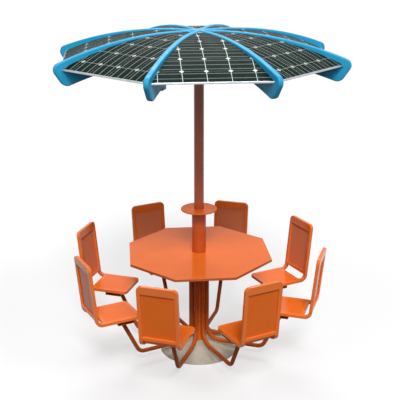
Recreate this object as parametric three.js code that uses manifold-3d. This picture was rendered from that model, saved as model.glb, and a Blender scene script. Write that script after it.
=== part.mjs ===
// Solar umbrella table with eight attached chairs.
// Millimetres, +Z up, origin on the ground at the centre of the plinth.
// A steel post stands in a concrete plinth and carries the table, a column with the battery,
// a small round tray, a mast and a canopy of eight ribs with eight solar panels between them.
// Eight bent tubes run down the post and out to eight cantilevered chairs.

import * as THREE from 'three';
import { mergeVertices } from 'three/addons/utils/BufferGeometryUtils.js';
import Module from 'manifold-3d';

// Counts: places round the table, and facets of round pieces
const placeCount = 8;
const wideFacets = 40;
const mastFacets = 28;
const postFacets = 24;
const rodFacets = 12;
const rodBoreFacets = 8;
const pinFacets = 16;
const wideBendSteps = 5;
const tightBendSteps = 4;
const railBendSteps = 6;
const cornerSteps = 3;
const ribArcSteps = 9;
const doorArcSteps = 10;

// Clearances
const seatGap = 0.3;
const doorGap = 0.6;
const cutOverrun = 5;

// Plinth of concrete
const plinthRadius = 290;
const plinthHeight = 70;
const plinthRimHeight = 8;
const plinthCrownWidth = 14;

// Post with its base plate, head flange and spacer discs
const basePlateRadius = 110;
const basePlateThickness = 12;
const postRadius = 35;
const postWall = 4;
const postFlangeRadius = 85;
const postFlangeThickness = 10;
const spacerThickness = 8;
const spacerHeights = [235, 560];

// Table top and the star bracket under it
const tableHeight = 780;
const tableThickness = 20;
const tableCornerRadius = 547;
const starPlateRadius = 110;
const starPlateThickness = 10;
const starCableRadius = 20;
const starArmStart = 92;
const starArmEnd = 430;
const starArmWeb = 6;
const starArmFlangeWidth = 30;
const starArmFlangeThickness = 4;
const starArmDepth = 36;
const starArmTipDepth = 12;

// Column between the table and the tray
const columnRadius = 51;
const columnWall = 5;

// Service door in the back of the column, its hinge and its lock
const doorHalfAngle = THREE.MathUtils.degToRad(34);
const doorThickness = 3;
const doorStopWidth = 4;
const doorSillRise = 20;
const doorHeight = 200;
const hingePinRadius = 2.5;
const hingeKnuckleRadius = 5;
const hingeStandoff = 0.5;
const hingeTurn = THREE.MathUtils.degToRad(5.5);
const hingeKnuckleLength = 30;
const hingeLugLength = 14;
const hingeStrapThickness = 3;
const hingeStrapTurn = THREE.MathUtils.degToRad(14);
const lockRadius = 7;
const lockStandout = 2;
const lockDepth = 9;
const lockTurn = THREE.MathUtils.degToRad(20);

// Battery pack and charge controller inside the column
const batteryRadius = 40;
const batteryHeight = 185;
const batteryBevel = 4;
const batteryTerminalWidth = 44;
const batteryTerminalDepth = 22;
const batteryTerminalHeight = 10;
const controllerWidth = 56;
const controllerDepth = 34;
const controllerHeight = 96;
const controllerFinCount = 6;
const controllerFinDepth = 8;
const controllerFinSlot = 4;

// Tray and the ring of outlets under it
const trayRise = 331;
const trayThickness = 10;
const trayRadius = 130;
const trayEdge = 2;
const outletRingRadius = 88;
const outletRingHeight = 13.5;
const outletCount = 4;
const outletWidth = 30;
const outletHeight = 8;
const outletDepth = 14;

// Mast
const mastRadius = 35;
const mastWall = 3.5;
const mastFlangeThickness = 8;

// Canopy: the rib line is level out to canopyFlatRadius and then falls along one arc
const canopyTop = 2385;
const canopyFlatRadius = 160;
const canopyArcRadius = 2450;
const hubAcrossFlats = 104;
const hubBoreDepth = 60;
const ribWidth = 36;
const ribWall = 3;
const ribDepth = 172;
const ribHeadRadius = 1058;
const ribEndSetback = 90;
const ribHeadRound = 45;
const ribFootRound = 55;
const ledgeWidth = 8;
const ledgeThickness = 5;
const ledgeEndMargin = 6;
const ledgeGap = 0.8;

// Sensor box under one of the ribs
const sensorRib = 6;
const sensorPlace = 750;
const sensorLength = 70;
const sensorWidth = 32;
const sensorDrop = 33;

// Solar panels between the ribs. Their line falls along a tighter arc than the ribs' line.
const panelDrop = 8;
const panelArcRadius = 2035;
const panelThickness = 12;
const panelInner = 84;
const panelOuter = 918;
const junctionBoxLength = 70;
const junctionBoxWidth = 50;
const junctionBoxHeight = 16;
const junctionBoxPlace = 230;

// Chair frame: a seat loop and a back loop of one flat rail, joined by two bends
const chairWidth = 284;
const railWidth = 26;
const railThickness = 24;
const seatHeight = 438;
const seatFront = 527;
const seatRear = 812;
const seatCornerRound = 30;
const seatHoleRound = 4;
const backLean = THREE.MathUtils.degToRad(5.55);
const backTopHeight = 870;
const backTopRail = 58;
const backBottomRail = 27;
const backCornerRound = 35;
const railBendRadius = 45;
const railRunOut = 6;
const seatPlateThickness = 4;
const seatPlateSkirt = 3;
const backPanelThickness = 4;

// Support tube and the open box under the seat that it carries
const tubeRadius = 15;
const tubeWall = 3;
const tubeCircle = 62;
const tubeLowHeight = 77;
const tubeWideBend = 110;
const tubeTightBend = 60;
const tubeRise = THREE.MathUtils.degToRad(64);
const carrierPlace = 641;
const carrierLength = 122;
const carrierWidth = 248;
const carrierHeight = 28;
const carrierWall = 3;

// Heights and places that follow from the sizes above
const placeStep = 2 * Math.PI / placeCount;
const halfPlace = placeStep / 2;
const tableUnderside = tableHeight - tableThickness;
const starTop = tableUnderside - seatGap;
const starPlateBottom = starTop - starPlateThickness;
const postTop = starPlateBottom - seatGap;
const postFlangeBottom = postTop - postFlangeThickness;
const tubeTop = postFlangeBottom - seatGap;
const trayHeight = tableHeight + trayRise;
const trayUnderside = trayHeight - trayThickness;
const mastFlangeTop = trayUnderside - seatGap;
const mastFlangeBottom = mastFlangeTop - mastFlangeThickness;
const columnTop = mastFlangeBottom - seatGap;
const columnBottom = starTop + seatGap;
const columnBore = columnRadius - columnWall;
const batteryBottom = starTop + seatGap;
const controllerBottom = batteryBottom + batteryHeight + batteryTerminalHeight + seatGap;
const hubBottom = canopyTop - ribDepth;
const ribFootRadius = ribHeadRadius - ribEndSetback;
const mastTop = hubBottom + hubBoreDepth - seatGap;
const seatUnderside = seatHeight - railThickness;
const carrierTop = seatUnderside - seatGap;
const carrierBottom = carrierTop - carrierHeight;
const spoke = (index) => placeStep * (index + 1 / 2);

const wasm = await Module();
wasm.setup();

// Finishes
const finish = (color, roughness, metalness) => {
  return new THREE.MeshStandardMaterial({ color, roughness, metalness });
};
const orangePaint = finish('#d9622b', 0.25, 0);
const bluePaint = finish('#1e9ed2', 0.25, 0);
const concrete = finish('#a6a08c', 0.9, 0);
const solarCells = finish('#2e3e3b', 0.15, 0);
const darkPlastic = finish('#26292b', 0.5, 0);
const batterySleeve = finish('#3b5f8a', 0.45, 0);
const castAluminium = finish('#9aa0a3', 0.4, 1);

// Solids and meshes

const solid = (geometry) => {
  const bare = geometry.clone();
  bare.deleteAttribute('normal');
  bare.deleteAttribute('uv');
  const merged = mergeVertices(bare);
  return new wasm.Manifold(new wasm.Mesh({
    numProp: 3,
    vertProperties: new Float32Array(merged.attributes.position.array),
    triVerts: new Uint32Array(merged.index.array),
  }));
};

const join = (pieces) => pieces.reduce((whole, piece) => whole.add(piece));

const surface = (body) => {
  const data = body.getMesh();
  const geometry = new THREE.BufferGeometry();
  geometry.setAttribute('position', new THREE.BufferAttribute(data.vertProperties, data.numProp));
  geometry.setIndex(new THREE.BufferAttribute(data.triVerts, 1));
  geometry.computeVertexNormals();
  return geometry;
};

const part = (name, body, material) => {
  const mesh = new THREE.Mesh(surface(body), material);
  mesh.name = name;
  return mesh;
};

// Outlines

const arc = (x, y, radius, from, to, steps) => {
  return Array.from({ length: steps + 1 }, (_, step) => {
    const angle = from + (to - from) * step / steps;
    return new THREE.Vector2(x + radius * Math.cos(angle), y + radius * Math.sin(angle));
  });
};

const circle = (radius, facets, x = 0, y = 0) => {
  return arc(x, y, radius, 0, 2 * Math.PI * (facets - 1) / facets, facets - 1);
};

const rectangle = (left, bottom, right, top) => [
  new THREE.Vector2(left, bottom),
  new THREE.Vector2(right, bottom),
  new THREE.Vector2(right, top),
  new THREE.Vector2(left, top),
];

// Rounds each corner of a closed outline by its own radius, and leaves it sharp at zero
const rounded = (corners, radii) => corners.flatMap((corner, index) => {
  if (!radii[index]) return [corner];
  const before = corners.at(index - 1).clone().sub(corner).normalize();
  const after = corners[(index + 1) % corners.length].clone().sub(corner).normalize();
  const half = Math.acos(before.dot(after)) / 2;
  const middle = before.clone().add(after).normalize();
  const centre = middle.multiplyScalar(radii[index] / Math.sin(half)).add(corner);
  const reach = radii[index] / Math.tan(half);
  const start = before.multiplyScalar(reach).add(corner).sub(centre).angle();
  const end = after.multiplyScalar(reach).add(corner).sub(centre).angle();
  const turn = Math.atan2(Math.sin(end - start), Math.cos(end - start));
  return arc(centre.x, centre.y, radii[index], start, start + turn, cornerSteps);
});

const outline = (points, holes = []) => {
  const shape = new THREE.Shape(points);
  shape.holes = holes.map((hole) => new THREE.Path(hole));
  return shape;
};

// Bodies

// A prism standing on a height, over an outline in X and Y
const prism = (points, bottom, top, holes = []) => {
  const geometry = new THREE.ExtrudeGeometry(outline(points, holes), {
    depth: top - bottom,
    bevelEnabled: false,
  });
  return solid(geometry.translate(0, 0, bottom));
};

// A slab across Y, centred on the X and Z plane, over an outline in X and Z
const slab = (points, width) => {
  const geometry = new THREE.ExtrudeGeometry(outline(points), { depth: width, bevelEnabled: false });
  return solid(geometry.translate(0, 0, -width / 2).rotateX(Math.PI / 2));
};

// A ring turned round Z from a closed outline of radius and height
const turned = (points, facets = wideFacets) => {
  const profile = [...points, points[0]];
  return solid(new THREE.LatheGeometry(profile, facets).rotateX(Math.PI / 2));
};

const box = (length, width, bottom, top, x = 0, y = 0) => {
  const half = new THREE.Vector2(length / 2, width / 2);
  return prism(rectangle(x - half.x, y - half.y, x + half.x, y + half.y), bottom, top);
};

const turnedBy = (body, angle) => body.rotate([0, 0, THREE.MathUtils.radToDeg(angle)]);

// A route in the X and Z plane of straight runs and bends. Each run is one step of the sweep,
// and each bend has steps of its own.
class BentRoute extends THREE.Curve {
  constructor(pieces) {
    super();
    this.pieces = pieces;
    this.steps = pieces.reduce((sum, piece) => sum + piece.steps, 0);
  }

  getPoint(t, target = new THREE.Vector3()) {
    let rest = t * this.steps;
    let index = 0;
    while (index < this.pieces.length - 1 && rest > this.pieces[index].steps) {
      rest -= this.pieces[index].steps;
      index += 1;
    }
    const piece = this.pieces[index];
    return target.copy(piece.pointAt(rest / piece.steps));
  }

  getUtoTmapping(u) {
    return u;
  }
}

const run = (fromX, fromZ, toX, toZ) => ({
  steps: 1,
  pointAt: (share) => new THREE.Vector3(
    fromX + (toX - fromX) * share, 0, fromZ + (toZ - fromZ) * share,
  ),
});

const bend = (x, z, radius, from, to, steps) => ({
  steps,
  pointAt: (share) => {
    const angle = from + (to - from) * share;
    return new THREE.Vector3(x + radius * Math.cos(angle), 0, z + radius * Math.sin(angle));
  },
});

const swept = (section, route) => solid(new THREE.ExtrudeGeometry(section, {
  steps: route.steps,
  extrudePath: route,
}));

// Foot: concrete plinth and welded post

const plinthBody = () => {
  const bore = postRadius + seatGap;
  const pocketRadius = basePlateRadius + seatGap;
  const pocketTop = basePlateThickness + seatGap;
  const crown = bore + plinthCrownWidth;
  return turned([
    new THREE.Vector2(bore, pocketTop),
    new THREE.Vector2(pocketRadius, pocketTop),
    new THREE.Vector2(pocketRadius, 0),
    new THREE.Vector2(plinthRadius, 0),
    new THREE.Vector2(plinthRadius, plinthRimHeight),
    new THREE.Vector2(crown, plinthHeight),
    new THREE.Vector2(bore, plinthHeight),
  ]);
};

const postBody = () => {
  const spacerRadius = tubeCircle - tubeRadius - seatGap;
  const spacers = spacerHeights.flatMap((height) => [
    new THREE.Vector2(postRadius, height),
    new THREE.Vector2(spacerRadius, height),
    new THREE.Vector2(spacerRadius, height + spacerThickness),
    new THREE.Vector2(postRadius, height + spacerThickness),
  ]);
  return turned([
    new THREE.Vector2(postRadius - postWall, 0),
    new THREE.Vector2(basePlateRadius, 0),
    new THREE.Vector2(basePlateRadius, basePlateThickness),
    new THREE.Vector2(postRadius, basePlateThickness),
    ...spacers,
    new THREE.Vector2(postRadius, postFlangeBottom),
    new THREE.Vector2(postFlangeRadius, postFlangeBottom),
    new THREE.Vector2(postFlangeRadius, postTop),
    new THREE.Vector2(postRadius - postWall, postTop),
  ], postFacets);
};

// Table: octagonal top and the star bracket that carries it

const tableBody = () => {
  const corners = Array.from({ length: placeCount }, (_, index) => new THREE.Vector2(
    tableCornerRadius * Math.cos(spoke(index)), tableCornerRadius * Math.sin(spoke(index)),
  ));
  const hole = circle(columnRadius + seatGap, wideFacets);
  return prism(corners, tableUnderside, tableHeight, [hole]);
};

const starBody = () => {
  const plate = prism(
    circle(starPlateRadius, mastFacets), starPlateBottom, starTop,
    [circle(starCableRadius, pinFacets)],
  );
  const web = slab([
    new THREE.Vector2(starArmStart, starTop - starArmDepth),
    new THREE.Vector2(starArmEnd, starTop - starArmTipDepth),
    new THREE.Vector2(starArmEnd, starTop),
    new THREE.Vector2(starArmStart, starTop),
  ], starArmWeb);
  const flange = prism(
    rectangle(starArmStart, -starArmFlangeWidth / 2, starArmEnd, starArmFlangeWidth / 2),
    starTop - starArmFlangeThickness, starTop,
  );
  const arm = join([web, flange]);
  const arms = Array.from({ length: placeCount }, (_, index) => turnedBy(arm, placeStep * index));
  return join([plate, ...arms]);
};

// Column with the service door

const hingeRadius = columnRadius + hingeKnuckleRadius + hingeStandoff;
const hingeAngle = Math.PI / 2 + doorHalfAngle + hingeTurn;
const hingeX = hingeRadius * Math.cos(hingeAngle);
const hingeY = hingeRadius * Math.sin(hingeAngle);
const doorSill = tableHeight + doorSillRise;
const doorMiddle = doorSill + doorHeight / 2;
const doorGapTurn = doorGap / columnRadius;

const curvedPlate = (inner, outer, from, to, bottom, top) => prism([
  ...arc(0, 0, outer, from, to, doorArcSteps),
  ...arc(0, 0, inner, to, from, doorArcSteps),
], bottom, top);

const columnBody = () => {
  const shell = prism(
    circle(columnRadius, wideFacets), columnBottom, columnTop,
    [circle(columnBore, wideFacets)],
  );
  const stopTurn = doorHalfAngle - doorStopWidth / columnRadius;
  const doorway = join([
    curvedPlate(
      columnRadius - doorThickness - seatGap, columnRadius + cutOverrun,
      Math.PI / 2 - doorHalfAngle, Math.PI / 2 + doorHalfAngle,
      doorSill, doorSill + doorHeight,
    ),
    curvedPlate(
      columnBore - cutOverrun, columnRadius,
      Math.PI / 2 - stopTurn, Math.PI / 2 + stopTurn,
      doorSill + doorStopWidth, doorSill + doorHeight - doorStopWidth,
    ),
  ]);
  const lugReach = hingeKnuckleLength / 2 + hingeLugLength + seatGap;
  const lugShare = hingeKnuckleLength / 2 + seatGap;
  const lug = (bottom, top) => join([
    prism(circle(hingeKnuckleRadius, pinFacets, hingeX, hingeY), bottom, top),
    curvedPlate(
      columnRadius - columnWall / 2, hingeRadius,
      hingeAngle, hingeAngle + hingeKnuckleRadius / hingeRadius, bottom, top,
    ),
  ]);
  const pin = prism(
    circle(hingePinRadius, pinFacets, hingeX, hingeY),
    doorMiddle - lugReach, doorMiddle + lugReach,
  );
  return join([
    shell.subtract(doorway),
    lug(doorMiddle - lugReach, doorMiddle - lugShare),
    lug(doorMiddle + lugShare, doorMiddle + lugReach),
    pin,
  ]);
};

const doorBody = () => {
  const leaf = curvedPlate(
    columnRadius - doorThickness, columnRadius,
    Math.PI / 2 - doorHalfAngle + doorGapTurn, Math.PI / 2 + doorHalfAngle - doorGapTurn,
    doorSill + doorGap, doorSill + doorHeight - doorGap,
  );
  const strapStart = Math.PI / 2 + doorHalfAngle - hingeStrapTurn;
  const bottom = doorMiddle - hingeKnuckleLength / 2;
  const top = doorMiddle + hingeKnuckleLength / 2;
  const strap = curvedPlate(
    columnRadius - doorThickness / 2, columnRadius + hingeStrapThickness,
    strapStart, Math.PI / 2 + doorHalfAngle - doorGapTurn, bottom, top,
  );
  const link = curvedPlate(
    columnRadius + hingeStandoff, columnRadius + hingeStrapThickness,
    strapStart, hingeAngle, bottom, top,
  );
  const knuckle = prism(circle(hingeKnuckleRadius, pinFacets, hingeX, hingeY), bottom, top);
  const bore = prism(
    circle(hingePinRadius + seatGap, pinFacets, hingeX, hingeY),
    bottom - cutOverrun, top + cutOverrun,
  );
  const lock = new THREE.CylinderGeometry(lockRadius, lockRadius, lockDepth, pinFacets);
  lock.translate(0, columnRadius + lockStandout - lockDepth / 2, doorMiddle);
  const barrel = turnedBy(solid(lock), -lockTurn);
  return join([leaf, strap, link, knuckle]).subtract(bore).add(barrel);
};

const batteryBody = () => {
  const top = batteryBottom + batteryHeight;
  const can = solid(new THREE.LatheGeometry([
    new THREE.Vector2(0, batteryBottom),
    new THREE.Vector2(batteryRadius - batteryBevel, batteryBottom),
    new THREE.Vector2(batteryRadius, batteryBottom + batteryBevel),
    new THREE.Vector2(batteryRadius, top - batteryBevel),
    new THREE.Vector2(batteryRadius - batteryBevel, top),
    new THREE.Vector2(0, top),
  ], mastFacets).rotateX(Math.PI / 2));
  const terminals = box(
    batteryTerminalWidth, batteryTerminalDepth,
    top - batteryBevel, top + batteryTerminalHeight,
  );
  return join([can, terminals]);
};

const controllerBody = () => {
  const top = controllerBottom + controllerHeight;
  const body = box(controllerWidth, controllerDepth, controllerBottom, top);
  const finPitch = controllerWidth / controllerFinCount;
  const slots = Array.from({ length: controllerFinCount }, (_, index) => box(
    controllerFinSlot, controllerFinDepth + cutOverrun,
    controllerBottom + controllerFinDepth, top + cutOverrun,
    -controllerWidth / 2 + finPitch * (index + 1 / 2),
    controllerDepth / 2 - controllerFinDepth / 2 + cutOverrun / 2,
  ));
  return body.subtract(join(slots));
};

// Tray, ring of outlets and mast

const trayBody = () => {
  const bore = mastRadius + seatGap;
  return turned([
    new THREE.Vector2(bore, trayUnderside),
    new THREE.Vector2(trayRadius - trayEdge, trayUnderside),
    new THREE.Vector2(trayRadius, trayUnderside + trayEdge),
    new THREE.Vector2(trayRadius, trayHeight - trayEdge),
    new THREE.Vector2(trayRadius - trayEdge, trayHeight),
    new THREE.Vector2(bore, trayHeight),
  ]);
};

const outletRingBody = () => {
  const top = trayUnderside - seatGap;
  const bottom = top - outletRingHeight;
  const ring = prism(
    circle(outletRingRadius, wideFacets), bottom, top,
    [circle(columnRadius + seatGap, wideFacets)],
  );
  const middle = (bottom + top) / 2;
  const socket = box(
    outletDepth + cutOverrun, outletWidth,
    middle - outletHeight / 2, middle + outletHeight / 2,
    outletRingRadius - (outletDepth - cutOverrun) / 2,
  );
  const outletStep = 2 * Math.PI / outletCount;
  const sockets = Array.from({ length: outletCount }, (_, index) => {
    return turnedBy(socket, outletStep * index);
  });
  return ring.subtract(join(sockets));
};

const mastBody = () => turned([
  new THREE.Vector2(mastRadius - mastWall, mastFlangeBottom),
  new THREE.Vector2(columnRadius, mastFlangeBottom),
  new THREE.Vector2(columnRadius, mastFlangeTop),
  new THREE.Vector2(mastRadius, mastFlangeTop),
  new THREE.Vector2(mastRadius, mastTop),
  new THREE.Vector2(mastRadius - mastWall, mastTop),
], mastFacets);

// Canopy: hub, ribs and solar panels

const domeLine = (radius, arcRadius) => {
  const out = Math.max(0, radius - canopyFlatRadius);
  return canopyTop - arcRadius + Math.sqrt(arcRadius ** 2 - out ** 2);
};

const ribLine = (radius) => domeLine(radius, canopyArcRadius);

const panelLine = (radius) => domeLine(radius, panelArcRadius) - panelDrop;

// Points along a line of the canopy, a drop below it. A place is turned into the line's radius.
const linePoints = (heightOf, from, to, drop, lineOf = (place) => place) => {
  const places = [from];
  if (lineOf(from) < canopyFlatRadius && lineOf(to) > canopyFlatRadius) {
    places.push(from + (to - from) * (canopyFlatRadius - lineOf(from)) / (lineOf(to) - lineOf(from)));
  }
  const start = places.at(-1);
  for (let step = 1; step <= ribArcSteps; step += 1) {
    places.push(start + (to - start) * step / ribArcSteps);
  }
  return places.map((place) => new THREE.Vector2(place, heightOf(lineOf(place)) - drop));
};

const hubBody = () => {
  const cornerRadius = hubAcrossFlats / 2 / Math.cos(halfPlace);
  const corners = Array.from({ length: placeCount }, (_, index) => new THREE.Vector2(
    cornerRadius * Math.cos(placeStep * index), cornerRadius * Math.sin(placeStep * index),
  ));
  const socket = prism(
    circle(mastRadius + seatGap, mastFacets),
    hubBottom - cutOverrun, hubBottom + hubBoreDepth,
  );
  return prism(corners, hubBottom, canopyTop).subtract(socket);
};

// Side view of a rib, drawn inwards by an inset. The end slopes, so its head moves in twice as far.
const ribOutline = (start, inset) => {
  const top = linePoints(ribLine, start, ribHeadRadius - 2 * inset, inset);
  const foot = linePoints(ribLine, start, ribFootRadius - inset, ribDepth - inset).reverse();
  const corners = [...top, ...foot];
  const radii = corners.map(() => 0);
  radii[top.length - 1] = ribHeadRound - inset;
  radii[top.length] = ribFootRound - inset;
  return rounded(corners, radii);
};

// A rib is a hollow box of sheet, open at the hub
const ribBody = () => {
  const start = hubAcrossFlats / 2 + seatGap;
  const blade = slab(ribOutline(start, 0), ribWidth);
  const hollow = slab(ribOutline(start - cutOverrun, ribWall), ribWidth - 2 * ribWall);

  // The ledge stays under the panel at its outer edge, where the panel is lowest
  const reach = (ribWidth / 2 + ledgeWidth) * Math.tan(halfPlace);
  const ledgeTop = panelThickness + ledgeGap;
  const ledgeStart = panelInner / Math.cos(halfPlace);
  const ledgeEnd = panelOuter / Math.cos(halfPlace) - reach - ledgeEndMargin;
  const lineOf = (radius) => radius + reach;
  const ledge = slab([
    ...linePoints(panelLine, ledgeStart, ledgeEnd, ledgeTop + ledgeThickness, lineOf),
    ...linePoints(panelLine, ledgeStart, ledgeEnd, ledgeTop, lineOf).reverse(),
  ], ribWidth + 2 * ledgeWidth);
  return join([blade, ledge]).subtract(hollow);
};

const sensorBody = () => {
  const foot = ribLine(sensorPlace - sensorLength / 2) - ribDepth;
  return box(sensorLength, sensorWidth, foot - sensorDrop, foot + ribWall / 2, sensorPlace);
};

const panelBody = () => {
  const lineOf = (place) => place / Math.cos(halfPlace);
  const band = slab([
    ...linePoints(panelLine, panelInner, panelOuter, panelThickness, lineOf),
    ...linePoints(panelLine, panelInner, panelOuter, 0, lineOf).reverse(),
  ], 2 * panelOuter);
  const halfWidth = (place) => {
    return place * Math.tan(halfPlace) - (ribWidth / 2 + seatGap) / Math.cos(halfPlace);
  };
  const innerCut = panelInner - cutOverrun;
  const outerCut = panelOuter + cutOverrun;
  const gore = prism([
    new THREE.Vector2(innerCut, -halfWidth(innerCut)),
    new THREE.Vector2(outerCut, -halfWidth(outerCut)),
    new THREE.Vector2(outerCut, halfWidth(outerCut)),
    new THREE.Vector2(innerCut, halfWidth(innerCut)),
  ], hubBottom, canopyTop);
  const underside = panelLine(lineOf(junctionBoxPlace)) - panelThickness;
  const junctionBox = box(
    junctionBoxLength, junctionBoxWidth,
    underside - junctionBoxHeight, underside + panelThickness / 2, junctionBoxPlace,
  );
  return join([band.intersect(gore), junctionBox]);
};

// Chair: frame, seat plate and back panel, in the chair's own frame with X pointing outwards

const railCentreHeight = seatHeight - railThickness / 2;
const bendTurn = Math.PI / 2 - backLean;
const bendReach = railBendRadius * Math.tan(bendTurn / 2);
const backFoot = seatRear + railRunOut + bendReach;
const backLength = (height) => (height - railCentreHeight) / Math.cos(backLean);
const backTop = backLength(backTopHeight);
const backHoleTop = backTop - backTopRail;
const backHoleBottom = bendReach + backBottomRail;
const innerHalf = chairWidth / 2 - railWidth;

// Places a body drawn flat, with X across the chair and Y up the back, into the leaning back
const leaning = (points, thickness, holes = []) => {
  const geometry = new THREE.ExtrudeGeometry(outline(points, holes), {
    depth: thickness,
    bevelEnabled: false,
  });
  const outward = new THREE.Vector3(Math.cos(backLean), 0, -Math.sin(backLean));
  const upward = new THREE.Vector3(Math.sin(backLean), 0, Math.cos(backLean));
  const placing = new THREE.Matrix4().makeBasis(new THREE.Vector3(0, 1, 0), upward, outward);
  placing.setPosition(outward.multiplyScalar(-thickness / 2).add(
    new THREE.Vector3(backFoot, 0, railCentreHeight),
  ));
  return solid(geometry.applyMatrix4(placing));
};

const chairFrameBody = () => {
  const half = chairWidth / 2;
  const back = leaning(
    rounded(rectangle(-half, bendReach, half, backTop), [0, 0, backCornerRound, backCornerRound]),
    railThickness,
    [rectangle(-innerHalf, backHoleBottom, innerHalf, backHoleTop)],
  );
  const seat = prism(
    rounded(rectangle(seatFront, -half, seatRear, half), [seatCornerRound, 0, 0, seatCornerRound]),
    seatUnderside, seatHeight,
    [rounded(
      rectangle(seatFront + railWidth, -innerHalf, seatRear - railWidth, innerHalf),
      [seatHoleRound, seatHoleRound, seatHoleRound, seatHoleRound],
    )],
  );
  const bendX = seatRear + railRunOut;
  const bendZ = railCentreHeight + railBendRadius;
  const overlap = railWidth / 2;
  const leanX = backFoot + bendReach * Math.sin(backLean);
  const leanZ = railCentreHeight + bendReach * Math.cos(backLean);
  const route = new BentRoute([
    run(seatRear - overlap, railCentreHeight, bendX, railCentreHeight),
    bend(bendX, bendZ, railBendRadius, -Math.PI / 2, bendTurn - Math.PI / 2, railBendSteps),
    run(
      leanX, leanZ,
      leanX + overlap * Math.sin(backLean), leanZ + overlap * Math.cos(backLean),
    ),
  ]);
  const section = outline(rectangle(
    -railThickness / 2, -railWidth / 2, railThickness / 2, railWidth / 2,
  ));
  const rail = swept(section, route);
  const railPlace = half - railWidth / 2;
  return join([
    back, seat, rail.translate([0, railPlace, 0]), rail.translate([0, -railPlace, 0]),
  ]);
};

const seatPlateBody = () => {
  const front = seatFront + railWidth + seatGap;
  const rear = seatRear - railWidth - seatGap;
  const half = innerHalf - seatGap;
  const plan = (inset) => rounded(
    rectangle(front + inset, -half + inset, rear - inset, half - inset),
    [seatHoleRound, seatHoleRound, seatHoleRound, seatHoleRound],
  );
  const underside = seatHeight - seatPlateThickness;
  return prism(plan(0), seatUnderside, seatHeight).subtract(
    prism(plan(seatPlateSkirt), seatUnderside - cutOverrun, underside),
  );
};

const backPanelBody = () => leaning(rectangle(
  -innerHalf + seatGap, backHoleBottom + seatGap, innerHalf - seatGap, backHoleTop - seatGap,
), backPanelThickness);

// Support tube with the open box welded on its upper end

const supportTubeBody = () => {
  const riseX = (height) => (height - carrierBottom) / Math.tan(tubeRise) + carrierPlace;
  const cornerX = riseX(tubeLowHeight);
  const lowReach = tubeTightBend * Math.tan(tubeRise / 2);
  const wideX = tubeCircle + tubeWideBend;
  const wideZ = tubeLowHeight + tubeWideBend;
  const tightX = cornerX - lowReach;
  const tightZ = tubeLowHeight + tubeTightBend;
  const route = new BentRoute([
    run(tubeCircle, tubeTop, tubeCircle, wideZ),
    bend(wideX, wideZ, tubeWideBend, Math.PI, 3 * Math.PI / 2, wideBendSteps),
    run(wideX, tubeLowHeight, tightX, tubeLowHeight),
    bend(tightX, tightZ, tubeTightBend, -Math.PI / 2, tubeRise - Math.PI / 2, tightBendSteps),
    run(
      cornerX + lowReach * Math.cos(tubeRise), tubeLowHeight + lowReach * Math.sin(tubeRise),
      riseX(carrierBottom + tubeRadius), carrierBottom + tubeRadius,
    ),
  ]);
  const section = outline(
    circle(tubeRadius, rodFacets), [circle(tubeRadius - tubeWall, rodBoreFacets)],
  );
  const floorMiddle = carrierBottom + carrierWall / 2;
  const above = box(
    carrierLength, carrierWidth, floorMiddle, carrierTop + cutOverrun, carrierPlace,
  );
  const tube = swept(section, route).subtract(above);
  const carrier = box(
    carrierLength, carrierWidth, carrierBottom, carrierTop, carrierPlace,
  ).subtract(box(
    carrierLength - 2 * carrierWall, carrierWidth + cutOverrun,
    carrierBottom + carrierWall, carrierTop - carrierWall, carrierPlace,
  ));
  return join([tube, carrier]);
};

// The whole object

const object = new THREE.Group();

object.add(
  part('base_plinth', plinthBody(), concrete),
  part('lower_post', postBody(), orangePaint),
  part('table_bracket', starBody(), orangePaint),
  part('table_top', tableBody(), orangePaint),
  part('column_housing', columnBody(), orangePaint),
  part('battery_pack', batteryBody(), batterySleeve),
  part('charge_controller', controllerBody(), castAluminium),
  part('outlet_ring', outletRingBody(), darkPlastic),
  part('tray', trayBody(), orangePaint),
  part('mast', mastBody(), orangePaint),
  part('canopy_hub', hubBody(), bluePaint),
);

const door = part('service_door', doorBody(), orangePaint);
object.add(door);

const repeated = [
  ['support_tube', supportTubeBody(), orangePaint],
  ['seat_frame', chairFrameBody(), orangePaint],
  ['seat_plate', seatPlateBody(), orangePaint],
  ['back_panel', backPanelBody(), orangePaint],
];
const plainRib = ribBody();
const panel = panelBody();

for (let index = 0; index < placeCount; index += 1) {
  const place = new THREE.Group();
  place.rotation.z = spoke(index);
  for (const [name, body, material] of repeated) {
    place.add(part(`${name}_${index + 1}`, body, material));
  }
  const rib = index + 1 === sensorRib ? plainRib.add(sensorBody()) : plainRib;
  place.add(part(`rib_${index + 1}`, rib, bluePaint));
  const gore = part(`pv_panel_${index + 1}`, panel, solarCells);
  gore.rotation.z = halfPlace;
  place.add(gore);
  object.add(place);
}

export default object;
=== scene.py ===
"""Solar umbrella table with eight attached chairs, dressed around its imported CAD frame.

The frame is in metres, +Z up, with its origin on the ground under the mast. The classes hold the
object's sizes in millimetres, and every mesh is turned into metres once, when it is finished.
"""

from __future__ import annotations

import logging
import math
from collections.abc import Callable, Iterable, Sequence
from dataclasses import dataclass, field
from enum import Enum
from itertools import product
from typing import Any

import bmesh
import bpy
from bmesh.types import BMEdge, BMesh, BMVert
from bpy.types import Material, Mesh, NodeSocket, NodeTree, Object
from mathutils import Euler, Matrix, Vector
from mathutils.geometry import tessellate_polygon

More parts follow.
